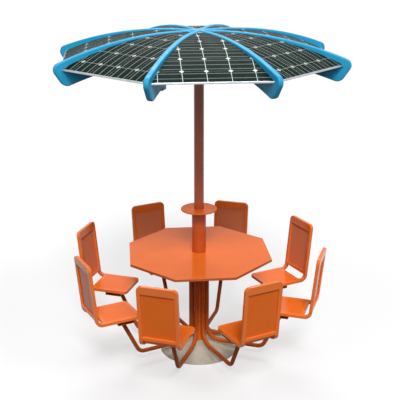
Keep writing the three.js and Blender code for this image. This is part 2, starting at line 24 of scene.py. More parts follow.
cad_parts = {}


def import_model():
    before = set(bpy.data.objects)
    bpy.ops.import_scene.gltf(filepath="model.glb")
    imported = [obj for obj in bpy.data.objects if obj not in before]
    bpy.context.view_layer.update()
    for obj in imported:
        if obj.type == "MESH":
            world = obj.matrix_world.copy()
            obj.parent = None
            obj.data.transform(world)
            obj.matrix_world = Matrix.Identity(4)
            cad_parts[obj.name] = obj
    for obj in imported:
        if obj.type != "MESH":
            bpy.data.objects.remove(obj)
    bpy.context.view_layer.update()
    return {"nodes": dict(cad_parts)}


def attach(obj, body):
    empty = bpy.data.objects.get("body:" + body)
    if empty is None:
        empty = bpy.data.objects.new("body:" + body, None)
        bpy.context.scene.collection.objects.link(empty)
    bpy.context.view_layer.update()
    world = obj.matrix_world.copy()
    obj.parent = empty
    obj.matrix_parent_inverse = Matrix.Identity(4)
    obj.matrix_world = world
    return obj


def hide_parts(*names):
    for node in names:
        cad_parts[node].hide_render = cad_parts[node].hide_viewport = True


log = logging.getLogger("solar_table")

METRES_PER_MM = 0.001
PLACE_COUNT = 8
HALF_PLACE = math.pi / PLACE_COUNT
ROUND_STEPS = 96
ROD_STEPS = 28
CELL_MAP = "cells"
Look = tuple[dict[str, Any], NodeSocket]
NOISE_LOW, NOISE_HIGH = 0.3, 0.7  # nearly all of a noise's values lie between these
WAVE_TURN = 20.0  # radians in a metre of a wave texture of scale 1
CLEAR_TURN = 0.02  # even steps this near to an exact edge are left out
FACING = 0.9  # a face looks along an axis where its normal's share is above this
UPRIGHT = 0.3  # a face stands upright where its normal's upward share is below this
SQUARE_ONLY, NEARLY_SQUARE, FOLDS_TOO = (math.radians(angle) for angle in (80, 70, 60))
UPSIDE_DOWN = Matrix.Rotation(math.pi, 4, "X")
LYING_ALONG_X = Matrix.Rotation(math.pi / 2, 4, "Y") @ Matrix.Rotation(math.pi / 2, 4, "Z")


class Body(Enum):
    """The CAD bodies that pieces ride on."""

    STAND = "stand"
    DOOR = "door"


class Slot(Enum):
    """Material slots, which the pieces' tags hold."""

    ORANGE_STEEL = "orange_steel"
    ORANGE_ALUMINIUM = "orange_aluminium"
    ORANGE_LAMINATE = "orange_laminate"
    BLUE_ALUMINIUM = "blue_aluminium"
    SOLAR_LAMINATE = "solar_laminate"
    CONCRETE = "concrete"
    DARK_PLASTIC = "dark_plastic"
    BATTERY_SLEEVE = "battery_sleeve"
    CONTROLLER_CASE = "controller_case"


@dataclass(frozen=True)
class Tag:
    """What a piece is to the frame: its material slot, the nodes it stands for and its body."""

    slot: Slot
    nodes: tuple[str, ...] = ()
    body: Body = Body.STAND


# Finishes


def linear(colour: str) -> tuple[float, float, float, float]:
    """Turns an sRGB colour into the linear colour that a shader takes.

    Args:
        colour: Six hex digits after a hash sign.

    Returns:
        Red, green, blue and alpha.
    """
    shares = [int(colour[start : start + 2], 16) / 255 for start in (1, 3, 5)]
    red, green, blue = (
        share / 12.92 if share <= 0.04045 else ((share + 0.055) / 1.055) ** 2.4 for share in shares
    )
    return red, green, blue, 1.0


def per_metre(size_mm: float) -> float:
    """Gives how often a pattern of this size repeats in a metre."""
    return 1 / (size_mm * METRES_PER_MM)


def emptied(owner: Material | bpy.types.World) -> NodeTree:
    """Gives a material or a world a node tree without nodes.

    Args:
        owner: The material or world.

    Returns:
        Its node tree.
    """
    owner.use_nodes = True
    owner.node_tree.nodes.clear()
    return owner.node_tree


def add_node(
    tree: NodeTree,
    kind: str,
    inputs: dict | None = None,
    output: str | int = 0,
    **settings: object,
) -> NodeSocket | None:
    """Adds a node with its settings, values and links.

    Args:
        tree: The material's node tree.
        kind: The node's type name.
        inputs: Values, or sockets to link, by the input's name or place.
        output: The name or place of the output that is wanted.
        settings: The node's own settings.

    Returns:
        The output's socket, whose node attribute is the node, or None where there is no output.
    """
    node = tree.nodes.new(kind)
    for name, value in settings.items():
        setattr(node, name, value)
    for key, value in (inputs or {}).items():
        if isinstance(value, NodeSocket):
            tree.links.new(value, node.inputs[key])
        else:
            node.inputs[key].default_value = value
    return node.outputs[output] if node.outputs else None


@dataclass(frozen=True)
class Skin:
    """A material in the making: its node tree, and the coordinates on the object in metres."""

    tree: NodeTree
    place: NodeSocket

    def cloud(
        self, size_mm: float, low: float = 0.0, high: float = 1.0, detail: float = 3.0
    ) -> NodeSocket:
        """Gives a soft noise between two values.

        Args:
            size_mm: The size of the noise's features.
            low: The value in the noise's valleys.
            high: The value on its peaks.
            detail: How many finer layers the noise has.

        Returns:
            The socket with the value.
        """
        pattern = {"Vector": self.place, "Scale": per_metre(size_mm), "Detail": detail}
        noise = add_node(self.tree, "ShaderNodeTexNoise", pattern, "Fac")
        spread = {"Value": noise, 1: NOISE_LOW, 2: NOISE_HIGH, 3: low, 4: high}
        return add_node(self.tree, "ShaderNodeMapRange", spread, "Result")

    def mottled(self, size_mm: float, first: str, second: str, detail: float = 3.0) -> NodeSocket:
        """Gives a colour that drifts between two others, in soft patches of a size."""
        colours = {0: self.cloud(size_mm, detail=detail), 6: linear(first), 7: linear(second)}
        return add_node(self.tree, "ShaderNodeMix", colours, 2, data_type="RGBA")


@dataclass(frozen=True)
class Relief:
    """How a pattern roughens a surface: its real depth, and the share of it that is drawn."""

    depth_mm: float
    share: float


@dataclass(frozen=True)
class Finish:
    """A surface finish. Each kind of finish dresses the shader in its own way."""

    name: str
    relief: Relief = field(default=Relief(0.03, 0.12), kw_only=True)

    def material(self) -> Material:
        """Builds the material with its shader, its patterns and its relief.

        Returns:
            The material.
        """
        material = bpy.data.materials.new(self.name)
        tree = emptied(material)
        place = add_node(tree, "ShaderNodeTexCoord", output="Object")
        inputs, height = self.dress(Skin(tree, place))
        depth, share = self.relief.depth_mm * METRES_PER_MM, self.relief.share
        relief = {"Height": height, "Distance": depth, "Strength": share}
        inputs["Normal"] = add_node(tree, "ShaderNodeBump", relief)
        shader = add_node(tree, "ShaderNodeBsdfPrincipled", inputs)
        add_node(tree, "ShaderNodeOutputMaterial", {"Surface": shader})
        return material

    def dress(self, skin: Skin) -> Look:
        """Makes the finish's colour, gloss and grain.

        Args:
            skin: The material in the making.

        Returns:
            The shader's inputs, and the height pattern of the relief.
        """
        raise NotImplementedError


@dataclass(frozen=True)
class EvenFinish(Finish):
    """A finish of one colour, which drifts in soft patches and has smears and a fine grain."""

    colour: str = "#ffffff"
    patch_colour: str = "#ffffff"
    patch_mm: float = 100.0
    patch_detail: float = 3.0
    roughness: float = 0.5
    smears: tuple[float, ...] = ()  # least and most roughness in its smears, in shares
    smear_mm: float = 70.0
    smear_detail: float = 5.0
    specular: float = 0.5
    metallic: float = 0.0
    grain_mm: float = 1.0
    grain_detail: float = 1.0

    def dress(self, skin: Skin) -> Look:
        """Makes the drifting colour, the gloss with its smears, and the grain.

        Args:
            skin: The material in the making.

        Returns:
            The shader's inputs, and the height pattern of the relief.
        """
        gloss: NodeSocket | float = self.roughness
        if self.smears:
            low, high = (self.roughness * share for share in self.smears)
            gloss = skin.cloud(self.smear_mm, low, high, self.smear_detail)
        return {
            "Base Color": skin.mottled(self.patch_mm, self.colour, self.patch_colour, self.patch_detail),
            "Metallic": self.metallic,
            "Roughness": gloss,
            "Specular IOR Level": self.specular,
        }, skin.cloud(self.grain_mm, detail=self.grain_detail)


@dataclass(frozen=True)
class PowderCoat(EvenFinish):
    """Polyester powder coat, sprayed and baked.

    To the eye it is a glossy even skin that fades slowly, with a faint orange peel, and with
    smears in its gloss where hands reach.
    """

    colour: str = "#ee6d1e"
    patch_colour: str = "#f07426"
    patch_mm: float = 240.0
    roughness: float = 0.1
    smears: tuple[float, ...] = (0.8, 1.5)
    specular: float = 0.06
    grain_mm: float = 2.6


@dataclass(frozen=True)
class CompactLaminate(EvenFinish):
    """High-pressure compact laminate, pressed with a gloss face.

    To the eye it is deep and mirror-like, with a mottled decor and wipe marks in its gloss.
    """

    relief: Relief = field(default=Relief(0.01, 0.1), kw_only=True)
    colour: str = "#ee6d1e"
    patch_colour: str = "#f07426"
    patch_mm: float = 160.0
    roughness: float = 0.07
    smears: tuple[float, ...] = (0.7, 2.2)
    smear_mm: float = 90.0
    smear_detail: float = 6.0
    specular: float = 0.1
    grain_mm: float = 1.6


@dataclass(frozen=True)
class ShadedLaminateCore(Finish):
    """Sawn and polished edge of the compact laminate: through-dyed paper in thin level layers.

    It is drawn a duller, darker orange than the gloss face, as painted shade on the upright
    edge, with faint level stripes.
    """

    relief: Relief = field(default=Relief(0.05, 0.3), kw_only=True)
    colour: str = "#c45a26"
    dark: str = "#a54a1e"
    roughness: float = 0.32
    ripple: float = 0.6
    layer_mm: float = 8.7965  # real layers are 0.2 mm, drawn coarser so that they show

    def dress(self, skin: Skin) -> Look:
        """Makes the layers, which lie level, and their slight ripple under the fingers.

        Args:
            skin: The material in the making.

        Returns:
            The shader's inputs, and the height pattern of the relief.
        """
        scale = per_metre(self.layer_mm) * math.tau / WAVE_TURN
        waves = {"Vector": skin.place, "Scale": scale, "Distortion": self.ripple}
        layers = add_node(skin.tree, "ShaderNodeTexWave", waves, "Fac", bands_direction="Z")
        colours = {0: layers, 6: linear(self.colour), 7: linear(self.dark)}
        colour = add_node(skin.tree, "ShaderNodeMix", colours, 2, data_type="RGBA")
        return {"Base Color": colour, "Roughness": self.roughness}, layers


@dataclass(frozen=True)
class CastConcrete(Finish):
    """Smooth cast concrete: pale and dry to the eye, with cloudy cement, sand and pinholes."""

    relief: Relief = field(default=Relief(0.35, 0.5), kw_only=True)
    colour: str = "#c2bcab"
    dark: str = "#a9a392"
    sand: str = "#cfcabb"
    painted_pit_shade: str = "#55523f"
    roughness: float = 0.86
    specular: float = 0.3
    cloud_mm: float = 75.0
    sand_mm: float = 2.2
    sand_share: float = 0.35
    hole_mm: float = 16.0
    hole_radius: float = 0.07
    pit_shade_share: float = 0.6
    hole_depth: float = 3.0

    def dress(self, skin: Skin) -> Look:
        """Makes the cement's clouds, its sand, and pinholes left by air in the mould, darkened as
        painted shade.

        Args:
            skin: The material in the making.

        Returns:
            The shader's inputs, and the height pattern of the relief.
        """
        tree = skin.tree
        sand = skin.cloud(self.sand_mm, detail=2.0)
        grid = {"Vector": skin.place, "Scale": per_metre(self.hole_mm)}
        near = {0: add_node(tree, "ShaderNodeTexVoronoi", grid, "Distance"), 1: self.hole_radius}
        hole = add_node(tree, "ShaderNodeMath", near, operation="LESS_THAN")
        colour = skin.mottled(self.cloud_mm, self.colour, self.dark, detail=6.0)
        # The sand paints paler grains; the pinholes get painted shade, darker inside them
        for mask, most, paint in (
            (sand, self.sand_share, self.sand),
            (hole, self.pit_shade_share, self.painted_pit_shade),
        ):
            share = add_node(tree, "ShaderNodeMath", {0: mask, 1: most}, operation="MULTIPLY")
            colours = {0: share, 6: colour, 7: linear(paint)}
            colour = add_node(tree, "ShaderNodeMix", colours, 2, data_type="RGBA")
        sunk = {0: hole, 1: -self.hole_depth, 2: sand}
        height = add_node(tree, "ShaderNodeMath", sunk, operation="MULTIPLY_ADD")
        inputs = {"Roughness": self.roughness, "Specular IOR Level": self.specular}
        return {"Base Color": colour, **inputs}, height


@dataclass(frozen=True)
class SolarCells(Finish):
    """Monocrystalline cells under matted solar glass: near black green, with pale lines.

    The cells are pseudo-square, so four of them leave a pale star where their corners meet.
    Distances are shares of a cell's side, on a map that holds one cell in each unit.
    """

    relief: Relief = field(default=Relief(0.02, 0.15), kw_only=True)
    cell: str = "#14201c"
    cell_light: str = "#1f2c28"
    backing: str = "#e6efeb"
    ribbon: str = "#a5b3ad"
    specular: float = 0.01
    roughness: tuple[float, float] = (0.34, 0.46)
    gap: float = 0.024
    cross_gap: float = 0.010
    wafer_radius: float = 0.632
    ribbon_width: float = 0.026  # real ribbons are 0.01 wide, drawn wider so that they show
    ribbon_places: tuple[float, ...] = (1 / 6, 1 / 2, 5 / 6)
    crystal_mm: float = 55.0
    film_mm: float = 120.0
    glass_grain_mm: float = 1.8

    def dress(self, skin: Skin) -> Look:
        """Makes the cells, their gaps with the corner stars, and the ribbons across them.

        Args:
            skin: The material in the making.

        Returns:
            The shader's inputs, and the height pattern of the relief.
        """
        tree, half = skin.tree, self.ribbon_width / 2
        chart = add_node(tree, "ShaderNodeUVMap", uv_map=CELL_MAP)
        share = add_node(tree, "ShaderNodeVectorMath", {0: chart}, operation="FRACTION")
        across, along = add_node(tree, "ShaderNodeSeparateXYZ", {0: share}).node.outputs[:2]
        middle = {0: share, 1: (0.5, 0.5, 0.0)}
        reach = add_node(tree, "ShaderNodeVectorMath", middle, "Value", operation="DISTANCE")
        colour = skin.mottled(self.crystal_mm, self.cell, self.cell_light, detail=4.0)
        # Each row has a test and the paints where it fails and where it holds. None keeps
        # what is drawn so far.
        for operation, values, failing, holding in (
            *(("COMPARE", (along, line, half), None, self.ribbon) for line in self.ribbon_places),
            ("COMPARE", (along, 0.5, 0.5 - self.cross_gap / 2), self.ribbon, None),
            ("COMPARE", (across, 0.5, 0.5 - self.gap / 2), self.backing, None),
            ("LESS_THAN", (reach, self.wafer_radius), self.backing, None),
        ):
            test = add_node(tree, "ShaderNodeMath", dict(enumerate(values)), operation=operation)
            paints = (linear(paint) if paint else colour for paint in (failing, holding))
            colours = dict(zip((0, 6, 7), (test, *paints)))
            colour = add_node(tree, "ShaderNodeMix", colours, 2, data_type="RGBA")
        return {
            "Base Color": colour,
            "Roughness": skin.cloud(self.film_mm, *self.roughness, detail=4.0),
            "Specular IOR Level": self.specular,
        }, skin.cloud(self.glass_grain_mm, detail=1.0)


@dataclass(frozen=True)
class BackSheet(EvenFinish):
    """White polymer film, laminated to the back of the cells: pale, softly shining, rippled."""

    relief: Relief = field(default=Relief(0.2, 0.2), kw_only=True)
    colour: str = "#d5d9d6"
    # The darker patch colour is painted shade on the ripples: its patches follow the relief's noise
    patch_colour: str = "#c3c8c6"
    patch_mm: float = 60.0
    patch_detail: float = 4.0
    roughness: float = 0.45
    grain_mm: float = 60.0
    grain_detail: float = 4.0


@dataclass(frozen=True)
class Metal(EvenFinish):
    """Bare metal, drawn or cast: a metallic grey in patches of oxide, softened by its grain."""

    relief: Relief = field(default=Relief(0.03, 0.2), kw_only=True)
    colour: str = "#c3c8cb"
    patch_colour: str = "#aab0b4"
    patch_mm: float = 45.0
    patch_detail: float = 5.0
    roughness: float = 0.34
    smears: tuple[float, ...] = (0.8, 1.3)
    smear_mm: float = 30.0
    smear_detail: float = 4.0
    metallic: float = 1.0
    grain_mm: float = 1.2
    grain_detail: float = 2.0


@dataclass(frozen=True)
class MouldedPlastic(EvenFinish):
    """Injection-moulded ABS: its fine spark-eroded grain keeps the gloss low, and it scuffs."""

    relief: Relief = field(default=Relief(0.03, 0.35), kw_only=True)
    colour: str = "#26292b"
    patch_colour: str = "#33373a"
    patch_mm: float = 14.0
    patch_detail: float = 6.0
    grain_mm: float = 0.8


def made(kind: type[Finish], name: str, *colours: str, **values: Any) -> Any:
    """Gives a field whose material is made together with the book that holds it."""
    return field(default_factory=kind(name, *colours, **values).material)


@dataclass
class FinishBook:
    """Every finish of the object, made once.

    The orange coats are one paint on the real object. Their colours differ only as painted light
    and shade, by how much light falls on each place; their gloss differs by how often each place
    is touched and rubbed.
    """

    # Glossy and deep, for the post, the tray, the bracket and the backs' outer sides
    orange_paint: Material = made(PowderCoat, "orange_powder_coat")
    # Lighter on the chairs' rails, as painted light for the light that they catch along every edge
    lit_orange_paint: Material = made(
        PowderCoat, "light_orange_powder_coat", "#f77726", "#f87c2b", specular=0.2
    )
    # Between the two on the seats, a little lighter as painted light
    lit_seat_paint: Material = made(PowderCoat, "seat_powder_coat", "#ef6f20", "#f17526", specular=0.12)
    # Satin and mirroring on the upright column and mast, and darker there as painted shade
    shaded_satin_orange_paint: Material = made(
        PowderCoat, "satin_orange_powder_coat", "#c0521a", "#c45820", roughness=0.2, specular=0.5
    )
    # Dull on the tubes, and browner there as painted shade from the table above them
    shaded_dull_orange_paint: Material = made(
        PowderCoat, "dull_orange_powder_coat", "#bf5618", "#c45c1c", roughness=0.24, specular=0.07
    )
    # Paler and rosy on the sitter's side of the backs, as a painted reflection of pale surroundings
    rosy_reflection_paint: Material = made(
        PowderCoat, "rosy_orange_powder_coat", "#ef8c60", "#f09165", roughness=0.35
    )
    # Mirror-like on top of the table, and duller and darker on its sawn edge as painted shade
    laminate: Material = made(CompactLaminate, "orange_compact_laminate")
    laminate_core: Material = made(ShadedLaminateCore, "laminate_core")
    # Half matt and even on the ribs, so that their folds show as soft bands
    blue_paint: Material = made(
        PowderCoat, "blue_powder_coat", "#28aadc", "#32b0e0", roughness=0.34, specular=0.2
    )
    cells: Material = made(SolarCells, "solar_cells_under_glass", ribbon="#8fa099")
    # Cells set closer, so that their gaps look thinner and greyer
    fine_cells: Material = made(
        SolarCells, "close_set_solar_cells_under_glass", backing="#c4d0ca", gap=0.014
    )
    back_sheet: Material = made(BackSheet, "solar_back_sheet")
    aluminium: Material = made(Metal, "extruded_aluminium")
    # Brighter and smoother than the aluminium
    stainless: Material = made(Metal, "stainless_steel", "#b9bcbd", "#a2a6a8", roughness=0.22)
    # Rough and grey from the mould
    cast_case: Material = made(
        Metal,
        "die_cast_aluminium",
        "#9aa0a3",
        "#868c90",
        roughness=0.45,
        relief=Relief(0.03, 0.6),
    )
    concrete: Material = made(CastConcrete, "cast_concrete")
    dark_plastic: Material = made(MouldedPlastic, "dark_abs")
    # Pale and smooth, so that the contacts' tongues show in their dark ports
    contact_plastic: Material = made(
        MouldedPlastic, "contact_tongue", "#d8dcdf", "#c6cbcf", roughness=0.35
    )
    # Thin film, drawn tight over the cells: shinier, with long soft waves
    sleeve: Material = made(
        MouldedPlastic, "shrink_sleeve", "#2f5c91", "#3d6ca0", roughness=0.28, grain_mm=6.0
    )


# Outlines


def spread(start: float, end: float, steps: int) -> list[float]:
    """Divides the way from a start to an end into even steps, and gives both ends too."""
    return [start + (end - start) * step / steps for step in range(steps + 1)]


def arc(x: float, y: float, radius: float, start: float, end: float, steps: int) -> list[Vector]:
    """Gives the points of an arc from a start angle to an end angle.

    Args:
        x: The centre's first value.
        y: Its second value.
        radius: The arc's radius.
        start: The angle of the first point.
        end: The angle of the last point.
        steps: The number of steps between them.

    Returns:
        The points.
    """
    return [
        Vector((x + radius * math.cos(angle), y + radius * math.sin(angle)))
        for angle in spread(start, end, steps)
    ]


def circle(radius: float, steps: int) -> list[Vector]:
    """Gives the points of a closed circle round the origin."""
    return arc(0, 0, radius, 0, 2 * math.pi * (steps - 1) / steps, steps - 1)


def rectangle(left: float, bottom: float, right: float, top: float) -> list[Vector]:
    """Gives the corners of a rectangle, counter-clockwise."""
    spots = ((left, bottom), (right, bottom), (right, top), (left, top))
    return [Vector(spot) for spot in spots]


def rounded(corners: Sequence[Vector], radii: Sequence[float], steps: int = 6) -> list[Vector]:
    """Rounds each corner of a closed outline by its own radius.

    Args:
        corners: The outline's corners.
        radii: A radius for each corner, or zero to keep it sharp.
        steps: The number of steps in each arc.

    Returns:
        The outline's points.
    """
    points: list[Vector] = []
    for index, (corner, radius) in enumerate(zip(corners, radii)):
        if not radius:
            points.append(corner)
            continue
        before = (corners[index - 1] - corner).normalized()
        after = (corners[(index + 1) % len(corners)] - corner).normalized()
        half = before.angle(after) / 2
        centre = corner + (before + after).normalized() * radius / math.sin(half)
        reach = radius / math.tan(half)
        first, last = (corner + way * reach - centre for way in (before, after))
        start, end = (math.atan2(way.y, way.x) for way in (first, last))
        turn = math.atan2(math.sin(end - start), math.cos(end - start))
        points.extend(arc(centre.x, centre.y, radius, start, start + turn, steps))
    return points


def cushion(half_x: float, half_y: float, radius: float, steps: int = 4) -> list[Vector]:
    """Gives a rectangle round the origin, by half its width and height, with rounded corners."""
    return rounded(rectangle(-half_x, -half_y, half_x, half_y), [radius] * 4, steps)


def disc_edge(radius: float, low: float, high: float, ease: float) -> list[tuple[float, float]]:
    """Gives the radii and heights of a disc's edge, eased at both faces."""
    inside = radius - ease
    return [(inside, low), (radius, low + ease), (radius, high - ease), (inside, high)]


def lifted(outline: Iterable[Vector], height: float) -> list[Vector]:
    """Puts an outline's points at a height."""
    return [Vector((point.x, point.y, height)) for point in outline]


def stepped(edges: set[float]) -> list[float]:
    """Divides a full turn into even steps, with some exact edges among them.

    Args:
        edges: The angles of the edges.

    Returns:
        Every angle in order.
    """
    even = (math.tau * step / ROUND_STEPS for step in range(ROUND_STEPS))
    clear = {angle for angle in even if all(abs(angle - edge) > CLEAR_TURN for edge in edges)}
    return sorted(edges | clear)


# Meshes, in millimetres


def lofted(rings: Sequence[Sequence[Vector]], capped: bool = True) -> BMesh:
    """Skins a row of rings with the same number of points.

    Args:
        rings: The rings in order. A ring of one point is the tip of a fan.
        capped: Whether the first and last ring are closed by a face. Otherwise they join.

    Returns:
        The closed mesh.
    """
    mesh = bmesh.new()
    made = [[mesh.verts.new(point) for point in ring] for ring in rings]
    pairs = list(zip(made, made[1:])) + ([] if capped else [(made[-1], made[0])])
    for one, two in pairs:
        steps = max(len(one), len(two))
        for step in range(steps):
            onward = (step + 1) % steps
            if len(one) == 1:
                mesh.faces.new((one[0], two[onward], two[step]))
            elif len(two) == 1:
                mesh.faces.new((one[step], one[onward], two[0]))
            else:
                mesh.faces.new((one[step], one[onward], two[onward], two[step]))
    if capped:
        for ring in (made[0], made[-1]):
            if len(ring) > 1:
                mesh.faces.new(ring)
    bmesh.ops.recalc_face_normals(mesh, faces=mesh.faces)
    return mesh


def cornered(
    corners: Sequence[Vector], radii: Sequence[float], is_hole: bool = False
) -> Callable[[float], list[Vector]]:
    """Makes an outline with rounded corners that can be drawn into its plate.

    Args:
        corners: The outline's corners, counter-clockwise.
        radii: A radius for each corner. At a plate's outer rim it is larger than the rim's ease.
        is_hole: Whether the outline is that of a hole, so that it grows into the plate.

    Returns:
        A function that gives the outline's points at an inset, as many at every inset.
    """

    def drawn(inset: float) -> list[Vector]:
        """Draws the outline into the plate.

        Args:
            inset: How far it moves in.

        Returns:
            The outline's points.
        """
        away = -inset if is_hole else inset
        moved = []
        for index, corner in enumerate(corners):
            before = (corners[index - 1] - corner).normalized()
            after = (corners[(index + 1) % len(corners)] - corner).normalized()
            half = before.angle(after) / 2
            moved.append(corner + (before + after).normalized() * away / math.sin(half))
        return rounded(moved, [radius - away for radius in radii])

    return drawn


def eased_rows(ease: float, low: float, high: float, steps: int) -> list[tuple[float, float]]:
    """Gives the insets and levels of a wall between two levels, with a rounding at both.

    Args:
        ease: The radius of both roundings.
        low: The wall's first level.
        high: Its last level.
        steps: The number of steps in each rounding.

    Returns:
        An inset and a level for each row.
    """
    turns = [math.pi / 2 * step / steps for step in range(steps + 1)]
    rows = [(ease * (1 - math.sin(turn)), low + ease * (1 - math.cos(turn))) for turn in turns]
    return rows + [(inset, low + high - level) for inset, level in reversed(rows)]


@dataclass(frozen=True)
class Rim:
    """A rim of a plate: its outline at any inset, and the radius that its edges are eased by."""

    outline: Callable[[float], list[Vector]]
    ease: float


def plate(rims: Sequence[Rim], low: float, high: float, steps: int = 4) -> BMesh:
    """Raises a plate with rounded edges.

    Args:
        rims: The outer rim, and then those of the holes.
        low: The height of the plate's underside.
        high: The height of its top.
        steps: The number of steps in each rounded edge.

    Returns:
        The closed mesh.
    """
    mesh = bmesh.new()
    ends = []
    for rim in rims:
        rings = [
            [mesh.verts.new(point) for point in lifted(rim.outline(inset), level)]
            for inset, level in eased_rows(rim.ease, low, high, steps)
        ]
        for below, above in zip(rings, rings[1:]):
            for step, corner in enumerate(below):
                mesh.faces.new((below[step - 1], corner, above[step], above[step - 1]))
        ends.append((rings[0], rings[-1]))
    for level in zip(*ends):
        flat = [corner for ring in level for corner in ring]
        for triangle in tessellate_polygon([[corner.co for corner in ring] for ring in level]):
            mesh.faces.new([flat[corner] for corner in triangle])
    bmesh.ops.recalc_face_normals(mesh, faces=mesh.faces)
    return mesh


def revolved(profile: Sequence[tuple[float, float]], steps: int = ROUND_STEPS) -> BMesh:
    """Turns a closed profile of radius and height round the Z axis.

    Args:
        profile: The profile's radii and heights. It may start and end on the axis.
        steps: The number of steps round the axis.

    Returns:
        The closed mesh.
    """
    rings = [
        lifted(circle(radius, steps), height) if radius else [Vector((0, 0, height))]
        for radius, height in profile
    ]
    return lofted(rings, capped=not profile[0][0])


def extruded(
    outline: Sequence[Vector], low: float, high: float, holes: Sequence[Sequence[Vector]] = ()
) -> BMesh:
    """Raises an outline with holes into a plate.

    Args:
        outline: The outer edge's points.
        low: The height of the plate's underside.
        high: The height of its top.
        holes: The points of each hole's edge.

    Returns:
        The closed mesh.
    """
    mesh = bmesh.new()
    loops = [outline, *holes]
    levels = [
        [[mesh.verts.new(point) for point in lifted(loop, height)] for loop in loops]
        for height in (low, high)
    ]
    triangles = tessellate_polygon([lifted(loop, 0) for loop in loops])
    for level in levels:
        flat = [corner for loop in level for corner in loop]
        for triangle in triangles:
            mesh.faces.new([flat[corner] for corner in triangle])
    for below, above in zip(*levels):
        for step, corner in enumerate(below):
            mesh.faces.new((corner, below[step - 1], above[step - 1], above[step]))
    bmesh.ops.recalc_face_normals(mesh, faces=mesh.faces)
    bmesh.ops.dissolve_limit(mesh, angle_limit=1e-4, verts=mesh.verts, edges=mesh.edges)
    return mesh


def lattice(
    top: Sequence[Sequence[Vector]],
    bottom: Sequence[Sequence[Vector]],
    present: Callable[[int, int], bool] = lambda row, column: True,
) -> BMesh:
    """Builds a solid sheet between two grids of points, with some cells left open.

    Args:
        top: Rows of points on the upper surface.
        bottom: The matching points on the lower surface.
        present: Says whether the cell at a row and a column is filled.

    Returns:
        The closed mesh.
    """
    mesh = bmesh.new()
    upper, lower = (
        [[mesh.verts.new(point) for point in row] for row in grid] for grid in (top, bottom)
    )
    rows, columns = len(top) - 1, len(top[0]) - 1

    def filled(row: int, column: int) -> bool:
        """Says whether a place is on the sheet and its cell is filled."""
        return 0 <= row < rows and 0 <= column < columns and present(row, column)

    for row in range(rows):
        for column in range(columns):
            if not filled(row, column):
                continue
            corners = [(row, column), (row, column + 1), (row + 1, column + 1), (row + 1, column)]
            for grid in (upper, lower):
                mesh.faces.new([grid[i][j] for i, j in corners])
            beyond = [(row - 1, column), (row, column + 1), (row + 1, column), (row, column - 1)]
            for side, neighbour in enumerate(beyond):
                if not filled(*neighbour):
                    (i, j), (k, m) = corners[side], corners[(side + 1) % 4]
                    mesh.faces.new((upper[i][j], upper[k][m], lower[k][m], lower[i][j]))
    bmesh.ops.delete(mesh, geom=[v for v in mesh.verts if not v.link_faces], context="VERTS")
    bmesh.ops.recalc_face_normals(mesh, faces=mesh.faces)
    return mesh


def barrel(
    radii: Sequence[float],
    angles: Sequence[float],
    heights: Sequence[float],
    present: Callable[[float, float, float], bool] = lambda radius, angle, height: True,
    closed: bool = True,
) -> BMesh:
    """Builds a round wall out of cells, some of them left open.

    Args:
        radii: The radii that bound the layers of the wall.
        angles: The angles that bound its cells, in order.
        heights: The heights that bound its cells.
        present: Says whether the cell round a radius, an angle and a height is filled.
        closed: Whether the wall runs all the way round.

    Returns:
        The closed mesh.
    """
    mesh = bmesh.new()
    made: dict[tuple[int, int, int], BMVert] = {}
    turns = len(angles) if closed else len(angles) - 1
    size = (len(radii) - 1, turns, len(heights) - 1)

    def corner(spot: Sequence[int]) -> BMVert:
        """Gives a corner of the cells, which is made when it is first needed.

        Args:
            spot: The places of its radius, its angle and its height.

        Returns:
            The corner.
        """
        i, j, k = spot
        key = (i, j % len(angles), k)
        if key not in made:
            radius, angle, height = radii[i], angles[key[1]], heights[k]
            point = (radius * math.cos(angle), radius * math.sin(angle), height)
            made[key] = mesh.verts.new(point)
        return made[key]

    def filled(cell: Sequence[int]) -> bool:
        """Says whether a cell is in the wall and holds material.

        Args:
            cell: The places of its layer, its turn and its level.

        Returns:
            Whether there is material.
        """
        i, j, k = cell
        if closed:
            j %= turns
        if not all(0 <= place < limit for place, limit in zip((i, j, k), size)):
            return False
        after = angles[(j + 1) % len(angles)] + (math.tau if j + 1 == len(angles) else 0)
        radius, height = (radii[i] + radii[i + 1]) / 2, (heights[k] + heights[k + 1]) / 2
        return present(radius, (angles[j] + after) / 2, height)

    for cell in filter(filled, product(*map(range, size))):
        for axis, side in product(range(3), (0, 1)):
            beyond = list(cell)
            beyond[axis] += 2 * side - 1
            if filled(beyond):
                continue
            spots = []
            for one, two in ((0, 0), (0, 1), (1, 1), (1, 0)):
                spot = list(cell)
                spot[axis] += side
                spot[(axis + 1) % 3] += one
                spot[(axis + 2) % 3] += two
                spots.append(corner(spot))
            mesh.faces.new(spots)
    bmesh.ops.recalc_face_normals(mesh, faces=mesh.faces)
    return mesh


def swept(path: Sequence[Vector], section: Sequence[Vector]) -> BMesh:
    """Sweeps a closed section along a path in the X and Z plane, square to it.

    Args:
        path: Points with X and Z as their first and second value.
        section: Points with the place above the path and the place along Y.

    Returns:
        The closed mesh.
    """
    rings = []
    for index, point in enumerate(path):
        before, after = path[max(index - 1, 0)], path[min(index + 1, len(path) - 1)]
        first, last = ((point - before) or (after - point)), ((after - point) or (point - before))
        along = (first.normalized() + last.normalized()).normalized()
        rings.append(
            [
                Vector((point.x - spot.x * along.y, spot.y, point.y + spot.x * along.x))
                for spot in section
            ]
        )
    return lofted(rings)


